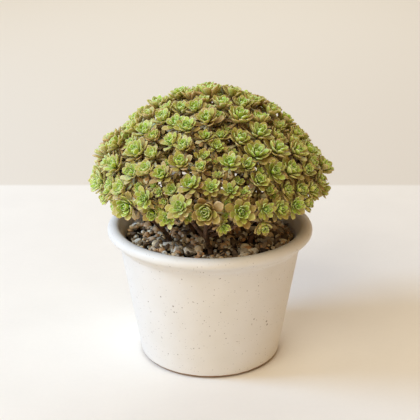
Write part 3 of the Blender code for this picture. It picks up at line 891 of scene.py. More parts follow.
@dataclass
class TopDressing:
    """Mixed grit on the soil: a crumbly bed and the grains that lie on it."""

    pot: Pot
    stems: list[Vector]
    bed_height: float = 70.9
    bed_foot: float = 69.85
    large_grains: int = 420
    small_grains: int = 760
    cell: float = 0.5
    seed: int = 5

    def bed(self) -> bpy.types.Object:
        """The fine crumbs between the grains: a disc with an uneven top.

        Returns:
            The bed as one closed piece.
        """
        deselect_everything()
        bpy.ops.mesh.primitive_circle_add(
            vertices=64,
            radius=(self.pot.inside(self.bed_foot) - 0.35) * MM,
            location=(0, 0, self.bed_foot * MM),
            fill_type="NGON",
        )
        bed = settled(bpy.context.active_object, "grit_bed")
        rise = self.bed_height - self.bed_foot
        with editing(bed):
            extruded(Vector((0, 0, rise * MM)), (1.002, 1.002, 1.0), Vector())
            for _ in range(12):
                bpy.ops.mesh.inset(thickness=3.9 * MM)
            bpy.ops.mesh.poke()
            top = self.bed_height * MM
            reach = self.pot.inside(self.bed_height) * MM
            select_where(bed, lambda spot: spot.z > top - 1e-6 and spot.xy.length < reach - 2 * MM)
            bpy.ops.transform.vertex_random(offset=0.9 * MM, uniform=0.2, normal=0.8, seed=self.seed)
        close_up(bed, 0.01 * MM)
        smooth_by_angle(bed, 60)
        return bed

    def angular_chip(self, number: int) -> Template:
        """A broken chip with blunt edges.

        Args:
            number: Which of the chips it is; each has its own random shape.

        Returns:
            The chip, about two units across.
        """
        deselect_everything()
        bpy.ops.mesh.primitive_ico_sphere_add(subdivisions=1, radius=1.0)
        chip = bpy.context.active_object
        with editing(chip):
            bpy.ops.transform.vertex_random(offset=0.38, uniform=0.9, normal=0.1, seed=number)
        apply_modifier(chip, "BEVEL", width=0.07, segments=1, limit_method="NONE")
        close_up(chip, 0.01)
        return Template.taken_from(chip)

    def round_pebble(self, number: int) -> Template:
        """A water-worn pebble.

        Args:
            number: Which of the pebbles it is.

        Returns:
            The pebble, about two units across.
        """
        deselect_everything()
        bpy.ops.mesh.primitive_ico_sphere_add(subdivisions=2, radius=1.0)
        pebble = bpy.context.active_object
        with editing(pebble):
            bpy.ops.transform.vertex_random(offset=0.10, uniform=0.6, normal=0.4, seed=number)
            bpy.ops.mesh.vertices_smooth(factor=0.5, repeat=1)
        return Template.taken_from(pebble)

    def bark_curl(self, number: int) -> Template:
        """A curled flake of bark.

        Args:
            number: Which of the flakes it is.

        Returns:
            The flake, about two units long.
        """
        deselect_everything()
        bpy.ops.mesh.primitive_cube_add(size=2.0)
        flake = bpy.context.active_object
        with editing(flake):
            bpy.ops.transform.resize(value=(1.0, 0.42, 0.13), center_override=(0, 0, 0))
            select_where(flake, lambda spot: spot.x > 0)
            bpy.ops.transform.resize(value=(1.0, 0.6, 0.8), center_override=(1, 0, 0))
            bpy.ops.mesh.select_all(action="SELECT")
            bpy.ops.mesh.subdivide(number_cuts=2)
            bpy.ops.transform.vertex_random(offset=0.07, uniform=1.0, normal=0.0, seed=number)
            select_where(flake, lambda spot: abs(spot.x) > 0.5)
            bpy.ops.transform.translate(value=(0, 0, 0.28))
        return Template.taken_from(flake)

    def planned(self) -> list[Grain]:
        """Chooses every grain: a few large ones at known spots, then the rest at random.

        Returns:
            The grains, in the order in which they are laid.
        """
        rng = random.Random(self.seed)
        reach = self.pot.inside(72.0) - 1.0
        grains = []
        for kind, bearing, radius, half, tone in NOTED_GRAINS:
            turn = math.radians(bearing)
            spot = Vector((radius * math.sin(turn), -radius * math.cos(turn)))
            grains.append(self.grain(rng, kind, spot, half, tone))
        for count, low, high in ((self.large_grains, 1.8, 3.2), (self.small_grains, 1.0, 1.7)):
            for _ in range(count):
                half = rng.triangular(low, high, low + 0.3 * (high - low))
                radius = (reach - half) * math.sqrt(rng.random())
                turn = rng.uniform(0, math.tau)
                spot = Vector((radius * math.sin(turn), -radius * math.cos(turn)))
                kind = rng.choices(list(StoneKind), weights=(33, 22, 35, 10))[0]
                grains.append(self.grain(rng, kind, spot, half, rng.random()))
        return [grain for grain in grains if self.clear_of_stems(grain)]

    def grain(
        self, rng: random.Random, kind: StoneKind, spot: Vector, half: float, tone: float
    ) -> Grain:
        """Gives a grain its proportions and its turn.

        Args:
            rng: The seeded source of chance.
            kind: The sort of grain.
            spot: Its place seen from above, in millimetres.
            half: Half of its middle size, in millimetres.
            tone: Its place on the colour ramp of its sort.

        Returns:
            The grain.
        """
        if kind is StoneKind.BARK:
            sizes = np.array((1.7, 1.5, 1.3)) * half
            tilt = 0.25
        elif kind is StoneKind.RIVER:
            sizes = np.array((rng.uniform(1.0, 1.3), rng.uniform(0.85, 1.05), rng.uniform(0.6, 0.8))) * half
            tilt = 0.35
        else:
            sizes = np.array((rng.uniform(0.9, 1.3), rng.uniform(0.8, 1.1), rng.uniform(0.6, 0.95))) * half
            tilt = 0.7
        turn = (
            Matrix.Rotation(rng.uniform(0, math.tau), 3, "Z")
            @ Matrix.Rotation(rng.gauss(0, tilt), 3, "X")
            @ Matrix.Rotation(rng.gauss(0, tilt), 3, "Y")
        )
        return Grain(kind, sizes, spot, tone, turn, rng.randrange(4))

    def clear_of_stems(self, grain: Grain) -> bool:
        """Whether a grain lies beside every stem and not in it."""
        return all((grain.spot - foot.xy).length > 2.4 + grain.half[0] for foot in self.stems)

    def laid(self, grains: list[Grain]) -> list[tuple[Grain, float]]:
        """Drops the grains one by one on a height map of what already lies there.

        Args:
            grains: The grains in the order in which they fall.

        Returns:
            Each grain with the height of its centre, in millimetres.
        """
        span = self.pot.inside(75.0) + 3.0
        axis = np.arange(-span, span, self.cell)
        across, deep = np.meshgrid(axis, axis, indexing="ij")
        surface = np.full(across.shape, self.bed_height)
        result = []
        for grain in grains:
            half = grain.half
            flat = 0.5 * (half[0] + half[1])
            near = (across - grain.spot.x) ** 2 + (deep - grain.spot.y) ** 2
            under = near < flat**2
            dome = np.sqrt(np.clip(1.0 - near[under] / flat**2, 0.0, 1.0)) * half[2]
            rest = np.percentile(surface[under] + 0.8 * dome, 70)
            centre = min(rest, 74.9 - 0.3 * half[2])
            surface[under] = np.maximum(surface[under], centre + dome)
            result.append((grain, centre))
        return result

    def grains(self) -> dict[StoneKind, bpy.types.Object]:
        """Models each sort of grain once and copies it to every place.

        Returns:
            One piece for each sort of grain.
        """
        shapes = {
            StoneKind.LAVA: [self.angular_chip(self.seed + i) for i in range(4)],
            StoneKind.PUMICE: [self.angular_chip(self.seed + 10 + i) for i in range(4)],
            StoneKind.RIVER: [self.round_pebble(self.seed + 20 + i) for i in range(4)],
            StoneKind.BARK: [self.bark_curl(self.seed + 30 + i) for i in range(4)],
        }
        copies = {kind: Copies() for kind in StoneKind}
        for grain, height in self.laid(self.planned()):
            shape = shapes[grain.kind][grain.shape]
            turned = (shape.points * grain.half) @ np.array(grain.turn.transposed())
            place = np.array((grain.spot.x, grain.spot.y, height))
            copies[grain.kind].add(shape, (turned + place) * MM, tone=grain.tone)
        return {kind: gathered.piece(kind.value) for kind, gathered in copies.items()}

    def make(self) -> None:
        """Builds and dresses the bed and the grains."""
        bed = self.bed()
        dressed(bed, PottingSoil("fine_crumbs_between_grit", "3A2E22", "AD9068", 1.3).material())
        pieces = [bed]
        for kind, piece in self.grains().items():
            dressed(piece, GRAIN_FINISHES[kind].material())
            if kind in (StoneKind.LAVA, StoneKind.PUMICE):
                smooth_by_angle(piece, 24)
            pieces.append(piece)
        for piece in pieces:
            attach(piece, BODY)
            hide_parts("grit_top_dressing")
            LOG.info("%s: %d faces", piece.name, len(piece.data.polygons))


# Sort, bearing, distance from the pot's axis, half size and tone of the grains that stand out.
NOTED_GRAINS: tuple[tuple[StoneKind, float, float, float, float], ...] = (
    (StoneKind.PUMICE, 66, 35.7, 3.9, 0.00),
    (StoneKind.BARK, -2, 19.0, 2.2, 0.95),
    (StoneKind.BARK, -50, 33.5, 2.3, 0.85),
    (StoneKind.RIVER, -32, 30.8, 2.3, 0.02),
    (StoneKind.RIVER, 16, 28.6, 2.3, 0.98),
    (StoneKind.RIVER, -66, 31.5, 2.5, 0.12),
    (StoneKind.RIVER, 55, 12.0, 2.0, 0.95),
    (StoneKind.PUMICE, -105, 33.8, 2.3, 0.30),
    (StoneKind.RIVER, -87, 43.3, 2.0, 0.60),
    (StoneKind.PUMICE, -122, 46.5, 2.0, 0.60),
    (StoneKind.RIVER, 95, 46.2, 2.3, 0.20),
    (StoneKind.RIVER, 87, 46.4, 2.6, 0.50),
    (StoneKind.RIVER, 72, 41.8, 1.8, 0.05),
    (StoneKind.RIVER, 74, 46.0, 2.0, 0.25),
    (StoneKind.RIVER, 54, 37.0, 2.3, 0.70),
    (StoneKind.RIVER, -100, 47.5, 2.1, 0.45),
    (StoneKind.RIVER, -110, 47.0, 2.3, 0.20),
    (StoneKind.RIVER, -108, 42.8, 2.3, 0.28),
    (StoneKind.RIVER, -63, 38.4, 1.8, 0.55),
    (StoneKind.RIVER, -75, 20.5, 1.7, 0.45),
    (StoneKind.PUMICE, 42, 25.4, 2.0, 0.75),
    (StoneKind.PUMICE, 33, 20.8, 1.8, 0.65),
    (StoneKind.PUMICE, -35, 14.5, 1.8, 0.80),
    (StoneKind.PUMICE, 7, 23.8, 1.6, 0.70),
    (StoneKind.LAVA, -14, 24.5, 2.3, 0.60),
    (StoneKind.RIVER, 100, 38.0, 2.0, 0.30),
    (StoneKind.LAVA, -80, 36.5, 2.4, 0.55),
)


# The plant.


@dataclass
class Rosette:
    """One head of leaves: where it sits, which way it faces and how wide it is."""

    place: Vector
    radius: float
    stem: int = 0
    facing: Vector | None = None
    spin: float = 0.0
    fixed: bool = False


# Bearing and polar angle in degrees and radius in millimetres of the rosettes that give the front
# its look: the big open ones low in front, the ones that hang at the sides, and those round the top.
PLACED_ROSETTES: tuple[tuple[float, float, float], ...] = (
    (-2, 84, 8.6), (15, 86, 7.4), (26, 104, 5.4), (6, 102, 4.2), (-21, 96, 5.4),
    (-30, 79, 5.6), (-10, 67, 6.4), (23, 69, 7.4), (11, 56, 6.4), (-5, 57, 6.0),
    (-18, 55, 6.8), (-36, 63, 6.4), (31, 52, 7.6), (4, 45, 6.6), (24, 42, 6.6),
    (-6, 29, 7.2), (35, 30, 7.6), (-52, 55, 7.2), (39, 64, 6.6), (72, 68, 6.4),
    (76, 92, 5.2), (54, 94, 5.2), (-67, 97, 4.8), (-64, 67, 6.6), (-62, 44, 6.6),
    (-38, 34, 6.2), (0, 68, 5.0), (10, 70, 5.0), (-20, 71, 5.0), (42, 75, 5.4),
    (-55, 99, 4.6),
)


# Place and radius in millimetres of rosettes that stand out along the canopy's outline.
EDGE_ROSETTES: tuple[tuple[float, float, float, float], ...] = (
    (-16.0, 8.0, 155.5, 5.2), (-7.5, 8.0, 156.5, 5.0), (13.0, 8.0, 155.8, 5.2),
    (28.0, 8.0, 150.0, 5.4), (-60.0, 0.0, 124.5, 5.0), (36.0, 6.0, 146.0, 5.0),
)


@dataclass
class CanopyPlan:
    """Where every rosette of the canopy sits, worked out with the same rules as the solid model."""

    radius: float = 64.8
    centre: float = 108.0
    rise: float = 50.5
    drop: float = 30.0
    dome_power: float = 1.6
    skirt_power: float = 2.0
    hem: float = 97.5
    raggedness: float = 4.0
    lowest_polar: float = 108.0
    open_front_height: float = 104.0
    open_front_bearings: tuple[float, float] = (-95.0, 95.0)
    spread: int = 196
    smallest: float = 3.8
    near_rosettes: int = 5
    room_share: float = 0.98
    spare_room: float = 1.25
    cone_apex: float = 38.0
    cone_margin: float = 0.6
    upper_stems: int = 3
    lower_stems: int = 6
    upper_foot: float = 10.4
    lower_foot: float = 27.0
    filler_spots: int = 5000
    smallest_gap: float = 1.5
    shaded_spots: int = 235
    shaded_depth: tuple[float, float] = (8.0, 14.0)
    largest_filler: float = 5.6
    seed: int = 71

    def point(self, bearing: float, polar: float) -> Vector:
        """A point of the canopy.

        Args:
            bearing: Degrees from the front towards +X.
            polar: Degrees from straight up.

        Returns:
            The point, in millimetres.
        """
        upright = math.cos(math.radians(polar))
        half, power = self.half(upright)
        flat = math.sin(math.radians(polar)) ** (2 / power)
        rise = math.copysign(abs(upright) ** (2 / power), upright)
        turn = math.radians(bearing)
        return Vector((
            self.radius * flat * math.sin(turn),
            -self.radius * flat * math.cos(turn),
            self.centre + half * rise,
        ))

    def half(self, height: float) -> tuple[float, float]:
        """Reach above or below the widest height, and the power of the canopy's curve there."""
        return (self.rise, self.dome_power) if height > 0 else (self.drop, self.skirt_power)

    def outward(self, place: Vector) -> Vector:
        """The direction straight out of the canopy near a place."""
        height = place.z - self.centre
        half, power = self.half(height)
        beside = place.to_2d()
        out = beside.normalized() * (beside.length / self.radius) ** (power - 1) / self.radius
        up = math.copysign((abs(height) / half) ** (power - 1) / half, height)
        return Vector((out.x, out.y, up)).normalized()

    def landed(self, place: Vector) -> Vector:
        """Brings a place back to the canopy's surface, and up to its ragged hem.

        Args:
            place: Any point near the canopy, in millimetres.

        Returns:
            The point on the canopy.
        """
        height = place.z - self.centre
        half, power = self.half(height)
        beside = place.to_2d().length / self.radius
        reach = (beside**power + (abs(height) / half) ** power) ** (1 / power)
        middle = Vector((0, 0, self.centre))
        spot = middle + (place - middle) / reach
        bearing = math.atan2(place.x, -place.y)
        waver = math.sin(3 * bearing + 1.0) * math.sin(2 * bearing + 0.4)
        spot.z = max(spot.z, self.hem + self.raggedness * waver)
        return spot

    def feet(self) -> list[Vector]:
        """Where the stems stand: one in the middle, an inner ring and an outer ring."""
        feet = [Vector((0.0, 0.0, 0.0))]
        for count, radius, turn in (
            (self.upper_stems, self.upper_foot, 25.0),
            (self.lower_stems, self.lower_foot, 0.0),
        ):
            for i in range(count):
                bearing = math.radians(turn + 360.0 * i / count)
                feet.append(Vector((radius * math.sin(bearing), -radius * math.cos(bearing), 0.0)))
        return feet

    def directions(self) -> list[Vector]:
        """The middle direction of each stem's cone, from the cones' common apex."""
        apex = Vector((0, 0, self.cone_apex))
        aims = [self.point(0, 0)]
        aims += [self.point(25 + 360 * i / self.upper_stems, 43) for i in range(self.upper_stems)]
        aims += [self.point(360 * i / self.lower_stems, 84) for i in range(self.lower_stems)]
        return [(aim - apex).normalized() for aim in aims]

    def cone_walls(self, stem: int, directions: list[Vector]) -> list[tuple[Vector, Vector]]:
        """The planes that bound a stem's cone.

        Args:
            stem: The stem's number.
            directions: The middle direction of every cone.

        Returns:
            A point and the inward normal of each plane.
        """
        apex = Vector((0, 0, self.cone_apex))
        own = directions[stem]
        return [(apex, (own - other).normalized()) for i, other in enumerate(directions) if i != stem]

    def even_polars(self) -> list[float]:
        """Polar angles, from the top down, that share the canopy's surface out evenly."""
        band = 0.5
        areas = []
        for i in range(int(self.lowest_polar / band)):
            polar = (i + 0.5) * band
            low = self.point(0, polar + band / 2)
            high = self.point(0, polar - band / 2)
            areas.append((polar, (high - low).length * -self.point(0, polar).y))
        share = sum(area for _, area in areas) / self.spread
        polars = []
        passed = 0.0
        for polar, area in areas:
            passed += area
            while passed > (len(polars) + 0.5) * share:
                polars.append(polar)
        return polars

    def first_places(self, rng: random.Random) -> list[Rosette]:
        """The rosettes' first places: the placed ones, then a golden-angle spiral with jitter.

        Args:
            rng: The seeded source of chance.

        Returns:
            The rosettes.
        """
        rosettes = []
        for bearing, polar, radius in PLACED_ROSETTES:
            rosettes.append(Rosette(self.landed(self.point(bearing, polar)), radius, fixed=True))
        for i, polar in enumerate(self.even_polars()):
            bearing = math.degrees(GOLDEN_ANGLE) * i + rng.uniform(-1, 1) * 4.0
            polar = max(0.0, polar + rng.uniform(-1, 1) * 3.0)
            place = self.landed(self.point(bearing, polar))
            radius = rng.triangular(4.8, 7.8, 5.6)
            crowded = any(
                (place - other.place).length < 0.62 * (radius + other.radius)
                for other in rosettes
                if other.fixed
            )
            if not crowded:
                rosettes.append(Rosette(place, radius))
        return rosettes

    def in_open_front(self, rosette: Rosette) -> bool:
        """Whether a spread rosette has come low in front, where the grit must show."""
        bearing = math.degrees(math.atan2(rosette.place.x, -rosette.place.y))
        low, high = self.open_front_bearings
        in_low_place = rosette.place.z < self.open_front_height
        return not rosette.fixed and in_low_place and low < bearing < high

    def ease_apart(self, rosettes: list[Rosette], walls: list[list[tuple[Vector, Vector]]]) -> None:
        """Moves rosettes that crowd each other apart, each inside its stem's cone.

        Args:
            rosettes: The rosettes, moved in place.
            walls: The planes that bound each stem's cone.
        """
        for _ in range(60):
            for i, one in enumerate(rosettes):
                for other in rosettes[:i]:
                    apart = one.place - other.place
                    short = 0.98 * (one.radius + other.radius) - apart.length
                    if short <= 0:
                        continue
                    step = apart.normalized() * short * 0.5
                    if not one.fixed:
                        one.place += step
                    if not other.fixed:
                        other.place -= step
            for rosette in rosettes:
                inside = kept_inside(
                    rosette.place, walls[rosette.stem], self.cone_margin * rosette.radius
                )
                rosette.place = self.landed(inside)

    def roomy_radius(self, rosette: Rosette, rosettes: list[Rosette]) -> float:
        """The radius that fills a rosette's room.

        Args:
            rosette: The rosette.
            rosettes: All the rosettes.

        Returns:
            The radius, in millimetres.
        """
        shares = []
        for other in rosettes:
            if other is not rosette:
                apart = (rosette.place - other.place).length
                shares.append(apart * rosette.radius / (rosette.radius + other.radius))
        shares.sort()
        room = sum(shares[:self.near_rosettes]) / self.near_rosettes * self.room_share
        grows = not rosette.fixed and rosette.place.z > self.open_front_height
        wanted = max(rosette.radius, room) if grows else rosette.radius
        return max(self.smallest, min(wanted, self.spare_room * shares[0]))

    def fillers(self, rosettes: list[Rosette]) -> list[Rosette]:
        """Small young rosettes, a little sunk, where the canopy still has gaps.

        Args:
            rosettes: The rosettes that are there already.

        Returns:
            The rosettes that fill the gaps.
        """
        rng = random.Random(self.seed + 9)
        directions = self.directions()
        apex = Vector((0, 0, self.cone_apex))
        spots = []
        for i in range(self.filler_spots):
            share = (i + 0.5) / self.filler_spots
            polar = math.degrees(math.acos(1.0 - share * (1.0 - math.cos(math.radians(101.0)))))
            place = self.landed(self.point(math.degrees(GOLDEN_ANGLE) * i, polar))
            if place.z > self.open_front_height or place.y > 0:
                spots.append(place)
        spots_array = np.array(spots)
        gaps = np.full(len(spots), 99.0)
        for rosette in rosettes:
            away = np.linalg.norm(spots_array - np.array(rosette.place), axis=1) - rosette.radius
            gaps = np.minimum(gaps, away)
        added = []
        for x, y, z, radius in EDGE_ROSETTES:
            place = Vector((x, y, z))
            stem = max(range(len(directions)), key=lambda i: (place - apex).dot(directions[i]))
            facing = (self.outward(place) + Vector((0, 0, 0.3))).normalized()
            added.append(Rosette(place, radius, stem, facing, rng.uniform(0, math.tau)))
        while gaps.max() > self.smallest_gap:
            best = int(np.argmax(gaps))
            place = spots[best].copy()
            radius = min(self.largest_filler, max(3.2, 1.25 * gaps[best]))
            out = self.outward(place)
            lean = Vector((rng.uniform(-1, 1), rng.uniform(-1, 1), rng.uniform(-1, 1))) * 0.35
            away = np.linalg.norm(spots_array - np.array(place), axis=1) - radius
            gaps = np.minimum(gaps, away)
            stem = max(range(len(directions)), key=lambda i: (place - apex).dot(directions[i]))
            added.append(Rosette(
                place - out * rng.uniform(2.5, 6.0),
                radius,
                stem=stem,
                facing=(out + Vector((0, 0, 0.2)) + lean).normalized(),
                spin=rng.uniform(0, math.tau),
            ))
        return added

    def shaded(self) -> list[Rosette]:
        """Tired rosettes inside the canopy, which close the view through it.

        Returns:
            The rosettes under the outer layer.
        """
        rng = random.Random(self.seed + 17)
        directions = self.directions()
        apex = Vector((0, 0, self.cone_apex))
        result = []
        for i in range(self.shaded_spots):
            share = (i + 0.5) / self.shaded_spots
            polar = math.degrees(math.acos(1.0 - share))
            outer = self.point(math.degrees(GOLDEN_ANGLE) * i, polar)
            out = self.outward(outer)
            place = outer - out * rng.uniform(*self.shaded_depth)
            lean = Vector((rng.uniform(-1, 1), rng.uniform(-1, 1), rng.uniform(-1, 1))) * 0.5
            result.append(Rosette(
                place,
                rng.uniform(5.5, 7.5),
                stem=max(range(len(directions)), key=lambda k: (place - apex).dot(directions[k])),
                facing=(out + lean).normalized(),
                spin=rng.uniform(0, math.tau),
            ))
        return result

    def rosettes(self) -> list[Rosette]:
        """Places every rosette and gives each its stem, facing and turn.

        Returns:
            The rosettes of the whole plant.
        """
        rng = random.Random(self.seed)
        directions = self.directions()
        apex = Vector((0, 0, self.cone_apex))
        rosettes = self.first_places(rng)
        for rosette in rosettes:
            away = rosette.place - apex
            rosette.stem = max(range(len(directions)), key=lambda i: away.dot(directions[i]))
        walls = [self.cone_walls(stem, directions) for stem in range(len(directions))]
        self.ease_apart(rosettes, walls)
        rosettes = [rosette for rosette in rosettes if not self.in_open_front(rosette)]
        radii = [self.roomy_radius(rosette, rosettes) for rosette in rosettes]
        for rosette, radius in zip(rosettes, radii):
            rosette.radius = radius
            out = self.outward(rosette.place)
            lean = Vector((rng.uniform(-1, 1), rng.uniform(-1, 1), rng.uniform(-1, 1))) * 0.24
            rosette.facing = (out + Vector((0, 0, 0.22)) + lean).normalized()
            rosette.spin = rng.uniform(0, math.tau)
            rosette.place += out * rng.uniform(-3.2, 1.2)
        for axis in (0, 1):
            high = max(rosette.place[axis] + rosette.radius for rosette in rosettes)
            low = min(rosette.place[axis] - rosette.radius for rosette in rosettes)
            for rosette in rosettes:
                rosette.place[axis] -= (high + low) / 2
        return rosettes


def kept_inside(place: Vector, walls: list[tuple[Vector, Vector]], margin: float) -> Vector:
    """Moves a place in until it is clear of every wall.

    Args:
        place: The point to move.
        walls: A point and the inward normal of each wall.
        margin: How far from the walls it must be.

    Returns:
        The moved point.
    """
    moved = place.copy()
    for _ in range(8):
        for anchor, inward in walls:
            short = margin - (moved - anchor).dot(inward)
            if short > 0:
                moved += inward * short
    return moved


# Distance along a leaf, half width and half thickness of each of its rings, for a leaf one unit
# long: a fleshy living one, and a plainer one for old leaves and for those in the shade.
LIVING_STATIONS: tuple[tuple[float, float, float], ...] = (
    (0.00, 0.070, 0.046),
    (0.30, 0.125, 0.060),
    (0.55, 0.245, 0.062),
    (0.76, 0.322, 0.050),
    (0.92, 0.215, 0.034),
    (1.00, 0.035, 0.012),
)
PLAIN_STATIONS: tuple[tuple[float, float, float], ...] = (
    (0.00, 0.070, 0.040),
    (0.45, 0.200, 0.052),
    (0.78, 0.310, 0.042),
    (1.00, 0.070, 0.016),
)


@dataclass(frozen=True)
class LeafShape:
    """A modelled leaf with the values that its finish reads at each point."""

    template: Template
    margin: np.ndarray
    along: np.ndarray


@dataclass
class Leaf:
    """The spoon-shaped leaf that every rosette is made of, modelled one unit long along +Y."""

    stations: tuple[tuple[float, float, float], ...] = LIVING_STATIONS
    ring_points: int = 6
    cup: float = 0.075

    def build(self) -> LeafShape:
        """Extrudes a ring along the leaf, then lifts its two edges to make the spoon's hollow.

        Returns:
            The leaf as a shape to copy.
        """
        deselect_everything()
        bpy.ops.mesh.primitive_circle_add(
            vertices=self.ring_points,
            radius=1.0,
            fill_type="NGON",
            rotation=(math.pi / 2, math.pi / self.ring_points, 0),
        )
        leaf = settled(bpy.context.active_object, "leaf")
        along, width, thickness = self.stations[0]
        with editing(leaf):
            bpy.ops.transform.resize(value=(width, 1.0, thickness), center_override=(0, 0, 0))
            for place, half_width, half_thickness in self.stations[1:]:
                extruded(
                    Vector((0, place - along, 0)),
                    (half_width / width, 1.0, half_thickness / thickness),
                    Vector((0, place, 0)),
                )
                along, width, thickness = place, half_width, half_thickness
            for place, half_width, half_thickness in self.stations[1:-1]:
                select_where(
                    leaf,
                    lambda spot: abs(spot.y - place) < 0.01 and abs(spot.x) > 0.9 * half_width,
                )
                bpy.ops.transform.translate(value=(0, 0, self.cup * half_width / 0.3))
                select_where(
                    leaf,
                    lambda spot: abs(spot.y - place) < 0.01
                    and abs(spot.x) < 0.7 * half_width
                    and spot.z > 0.5 * half_thickness,
                )
                bpy.ops.transform.translate(value=(0, 0, -0.45 * half_thickness))
        close_up(leaf, 0.001)
        template = Template.taken_from(leaf)
        lengths = template.points[:, 1]
        margin = np.abs(template.points[:, 0]) / self.half_width(lengths)
        tip = np.clip((lengths - 0.86) / 0.14, 0.0, 1.0)
        return LeafShape(template, np.maximum(margin, tip), lengths)

    def half_width(self, along: np.ndarray) -> np.ndarray:
        """Half the leaf's width at distances along it."""
        stations = np.array(self.stations)
        return np.interp(along, stations[:, 0], stations[:, 1])


@dataclass
class LeafPose:
    """How one leaf sits on its rosette: lengths in millimetres, angles in radians."""

    turn: float
    pitch: float
    curl: float
    length: float
    width: float
    base_radius: float
    base_height: float
    age: float
    tone: float
    twist: float = 0.0
    plain: bool = False


@dataclass
class RosetteHead:
    """The leaves of one rosette, from the tight heart to the old ones that hang under it."""

    leaf: LeafShape
    plain_leaf: LeafShape
    living: int = 24
    old: int = 6
    shaded: int = 12
    # Width in millimetres across which the leaves' tone goes from painted light on the -X lamp side to
    # painted shade on the +X side.
    painted_light_span: float = 100.0

    def poses(self, rosette: Rosette, rng: random.Random) -> list[LeafPose]:
        """Chooses how every leaf of a rosette sits.

        Args:
            rosette: The rosette.
            rng: The seeded source of chance.

        Returns:
            The poses, heart first.
        """
        size = rosette.radius
        young = size < 4.6
        living = self.living + round((size - 6.0) * 1.8) + rng.randint(-1, 1)
        # Painted light and shade: rosettes towards -X, where the key lamp stands, get a low tone and paler
        # leaves. Those towards +X get a high tone and darker olive leaves. The rest of the tone is chance.
        painted_lit_share = min(1.0, max(0.0, 0.5 - rosette.place.x / self.painted_light_span))
        health_and_painted_shade = 0.50 * rng.random() + 0.50 * (1.0 - painted_lit_share)
        stress = max(0.0, rng.gauss(0.0, 0.12))
        openness = rng.uniform(-0.16, 0.34)
        poses = []
        for k in range(living):
            share = k / (living - 1)
            grown = share**0.64
            poses.append(LeafPose(
                turn=k * GOLDEN_ANGLE + rng.gauss(0, 0.10),
                pitch=math.radians(82 - 54 * grown) - openness * grown + rng.gauss(0, 0.08),
                curl=math.radians(44 - 24 * grown) + rng.gauss(0, 0.14),
                length=size * (0.32 + 1.06 * grown) * rng.uniform(0.92, 1.06),
                width=size * (0.36 + 0.70 * grown) * rng.uniform(0.88, 1.10),
                base_radius=size * 0.05,
                base_height=size * (0.02 - 0.40 * share),
                age=min(0.90, 0.74 * share**1.2 + stress * share + rng.gauss(0.0, 0.05)),
                tone=min(1.0, max(0.0, 0.55 * health_and_painted_shade + 0.45 * rng.random())),
                twist=rng.gauss(0, 0.12),
            ))
        for k in range(3 if young else self.old):
            poses.append(LeafPose(
                turn=(living + k) * GOLDEN_ANGLE + rng.gauss(0, 0.3),
                pitch=math.radians(rng.uniform(-40, 14)),
                curl=math.radians(rng.uniform(-50, 20)),
                length=size * rng.uniform(0.85, 1.20),
                width=size * rng.uniform(0.50, 0.90),
                base_radius=size * 0.04,
                base_height=-size * rng.uniform(0.36, 0.62),
                age=rng.uniform(0.70, 1.0),
                tone=rng.random() * 0.6,
                twist=rng.gauss(0, 0.35),
                plain=True,
            ))
        return poses

    def shaded_poses(self, rosette: Rosette, rng: random.Random) -> list[LeafPose]:
        """Chooses how the few tired leaves of a rosette inside the canopy sit.

        Args:
            rosette: The rosette.
            rng: The seeded source of chance.

        Returns:
            The poses.
        """
        size = rosette.radius
        poses = []
        for k in range(self.shaded):
            share = k / (self.shaded - 1)
            poses.append(LeafPose(
                turn=k * GOLDEN_ANGLE + rng.gauss(0, 0.2),
                pitch=math.radians(60 - 70 * share) + rng.gauss(0, 0.2),
                curl=math.radians(rng.uniform(-40, 30)),
                length=size * (0.6 + 0.6 * share),
                width=size * rng.uniform(0.55, 0.95),
                base_radius=size * 0.05,
                base_height=-size * 0.3 * share,
                age=rng.uniform(0.66, 1.0),
                tone=rng.random(),
                twist=rng.gauss(0, 0.3),
                plain=True,
            ))
        return poses

    def shape_of(self, pose: LeafPose) -> LeafShape:
        """The modelled leaf that a pose uses."""
        return self.plain_leaf if pose.plain else self.leaf

    def points(self, pose: LeafPose) -> np.ndarray:
        """Bends the leaf template along an arc and sets it on the rosette's axis.

        Args:
            pose: How the leaf sits.

        Returns:
            The leaf's vertices in the rosette's own frame, in millimetres.
        """
        across, along, up = self.shape_of(pose).template.points.T
        curl = pose.curl if abs(pose.curl) > 1e-3 else 1e-3
        angle = pose.pitch + curl * along
        out = pose.length / curl * (np.sin(angle) - math.sin(pose.pitch))
        rise = -pose.length / curl * (np.cos(angle) - math.cos(pose.pitch))
        side = across * pose.width
        lift = up * pose.length
        rolled = pose.twist * along
        flat = side * np.cos(rolled) - lift * np.sin(rolled)
        normal = side * np.sin(rolled) + lift * np.cos(rolled)
        radial = pose.base_radius + out - normal * np.sin(angle)
        height = pose.base_height + rise + normal * np.cos(angle)
        cos_turn, sin_turn = math.cos(pose.turn), math.sin(pose.turn)
        return np.stack(
            (radial * cos_turn - flat * sin_turn, radial * sin_turn + flat * cos_turn, height),
            axis=1,
        )

    def add_to(self, copies: Copies, rosette: Rosette, poses: Iterable[LeafPose]) -> None:
        """Adds leaves of one rosette to a piece.

        Args:
            copies: Where the leaves are gathered.
            rosette: The rosette.
            poses: How its leaves sit.
        """
        upright = rosette.facing.to_track_quat("Z", "Y").to_matrix()
        turn = np.array(upright @ Matrix.Rotation(rosette.spin, 3, "Z"))
        place = np.array(rosette.place)
        for pose in poses:
            shape = self.shape_of(pose)
            copies.add(
                shape.template, (self.points(pose) @ turn.T + place) * MM,
                age=pose.age, tone=pose.tone, margin=shape.margin, along=shape.along,
            )


@dataclass
class Branch:
    """One woody length: the points it runs through and its radius at each, in millimetres."""

    path: list[Vector]
    radii: list[float]


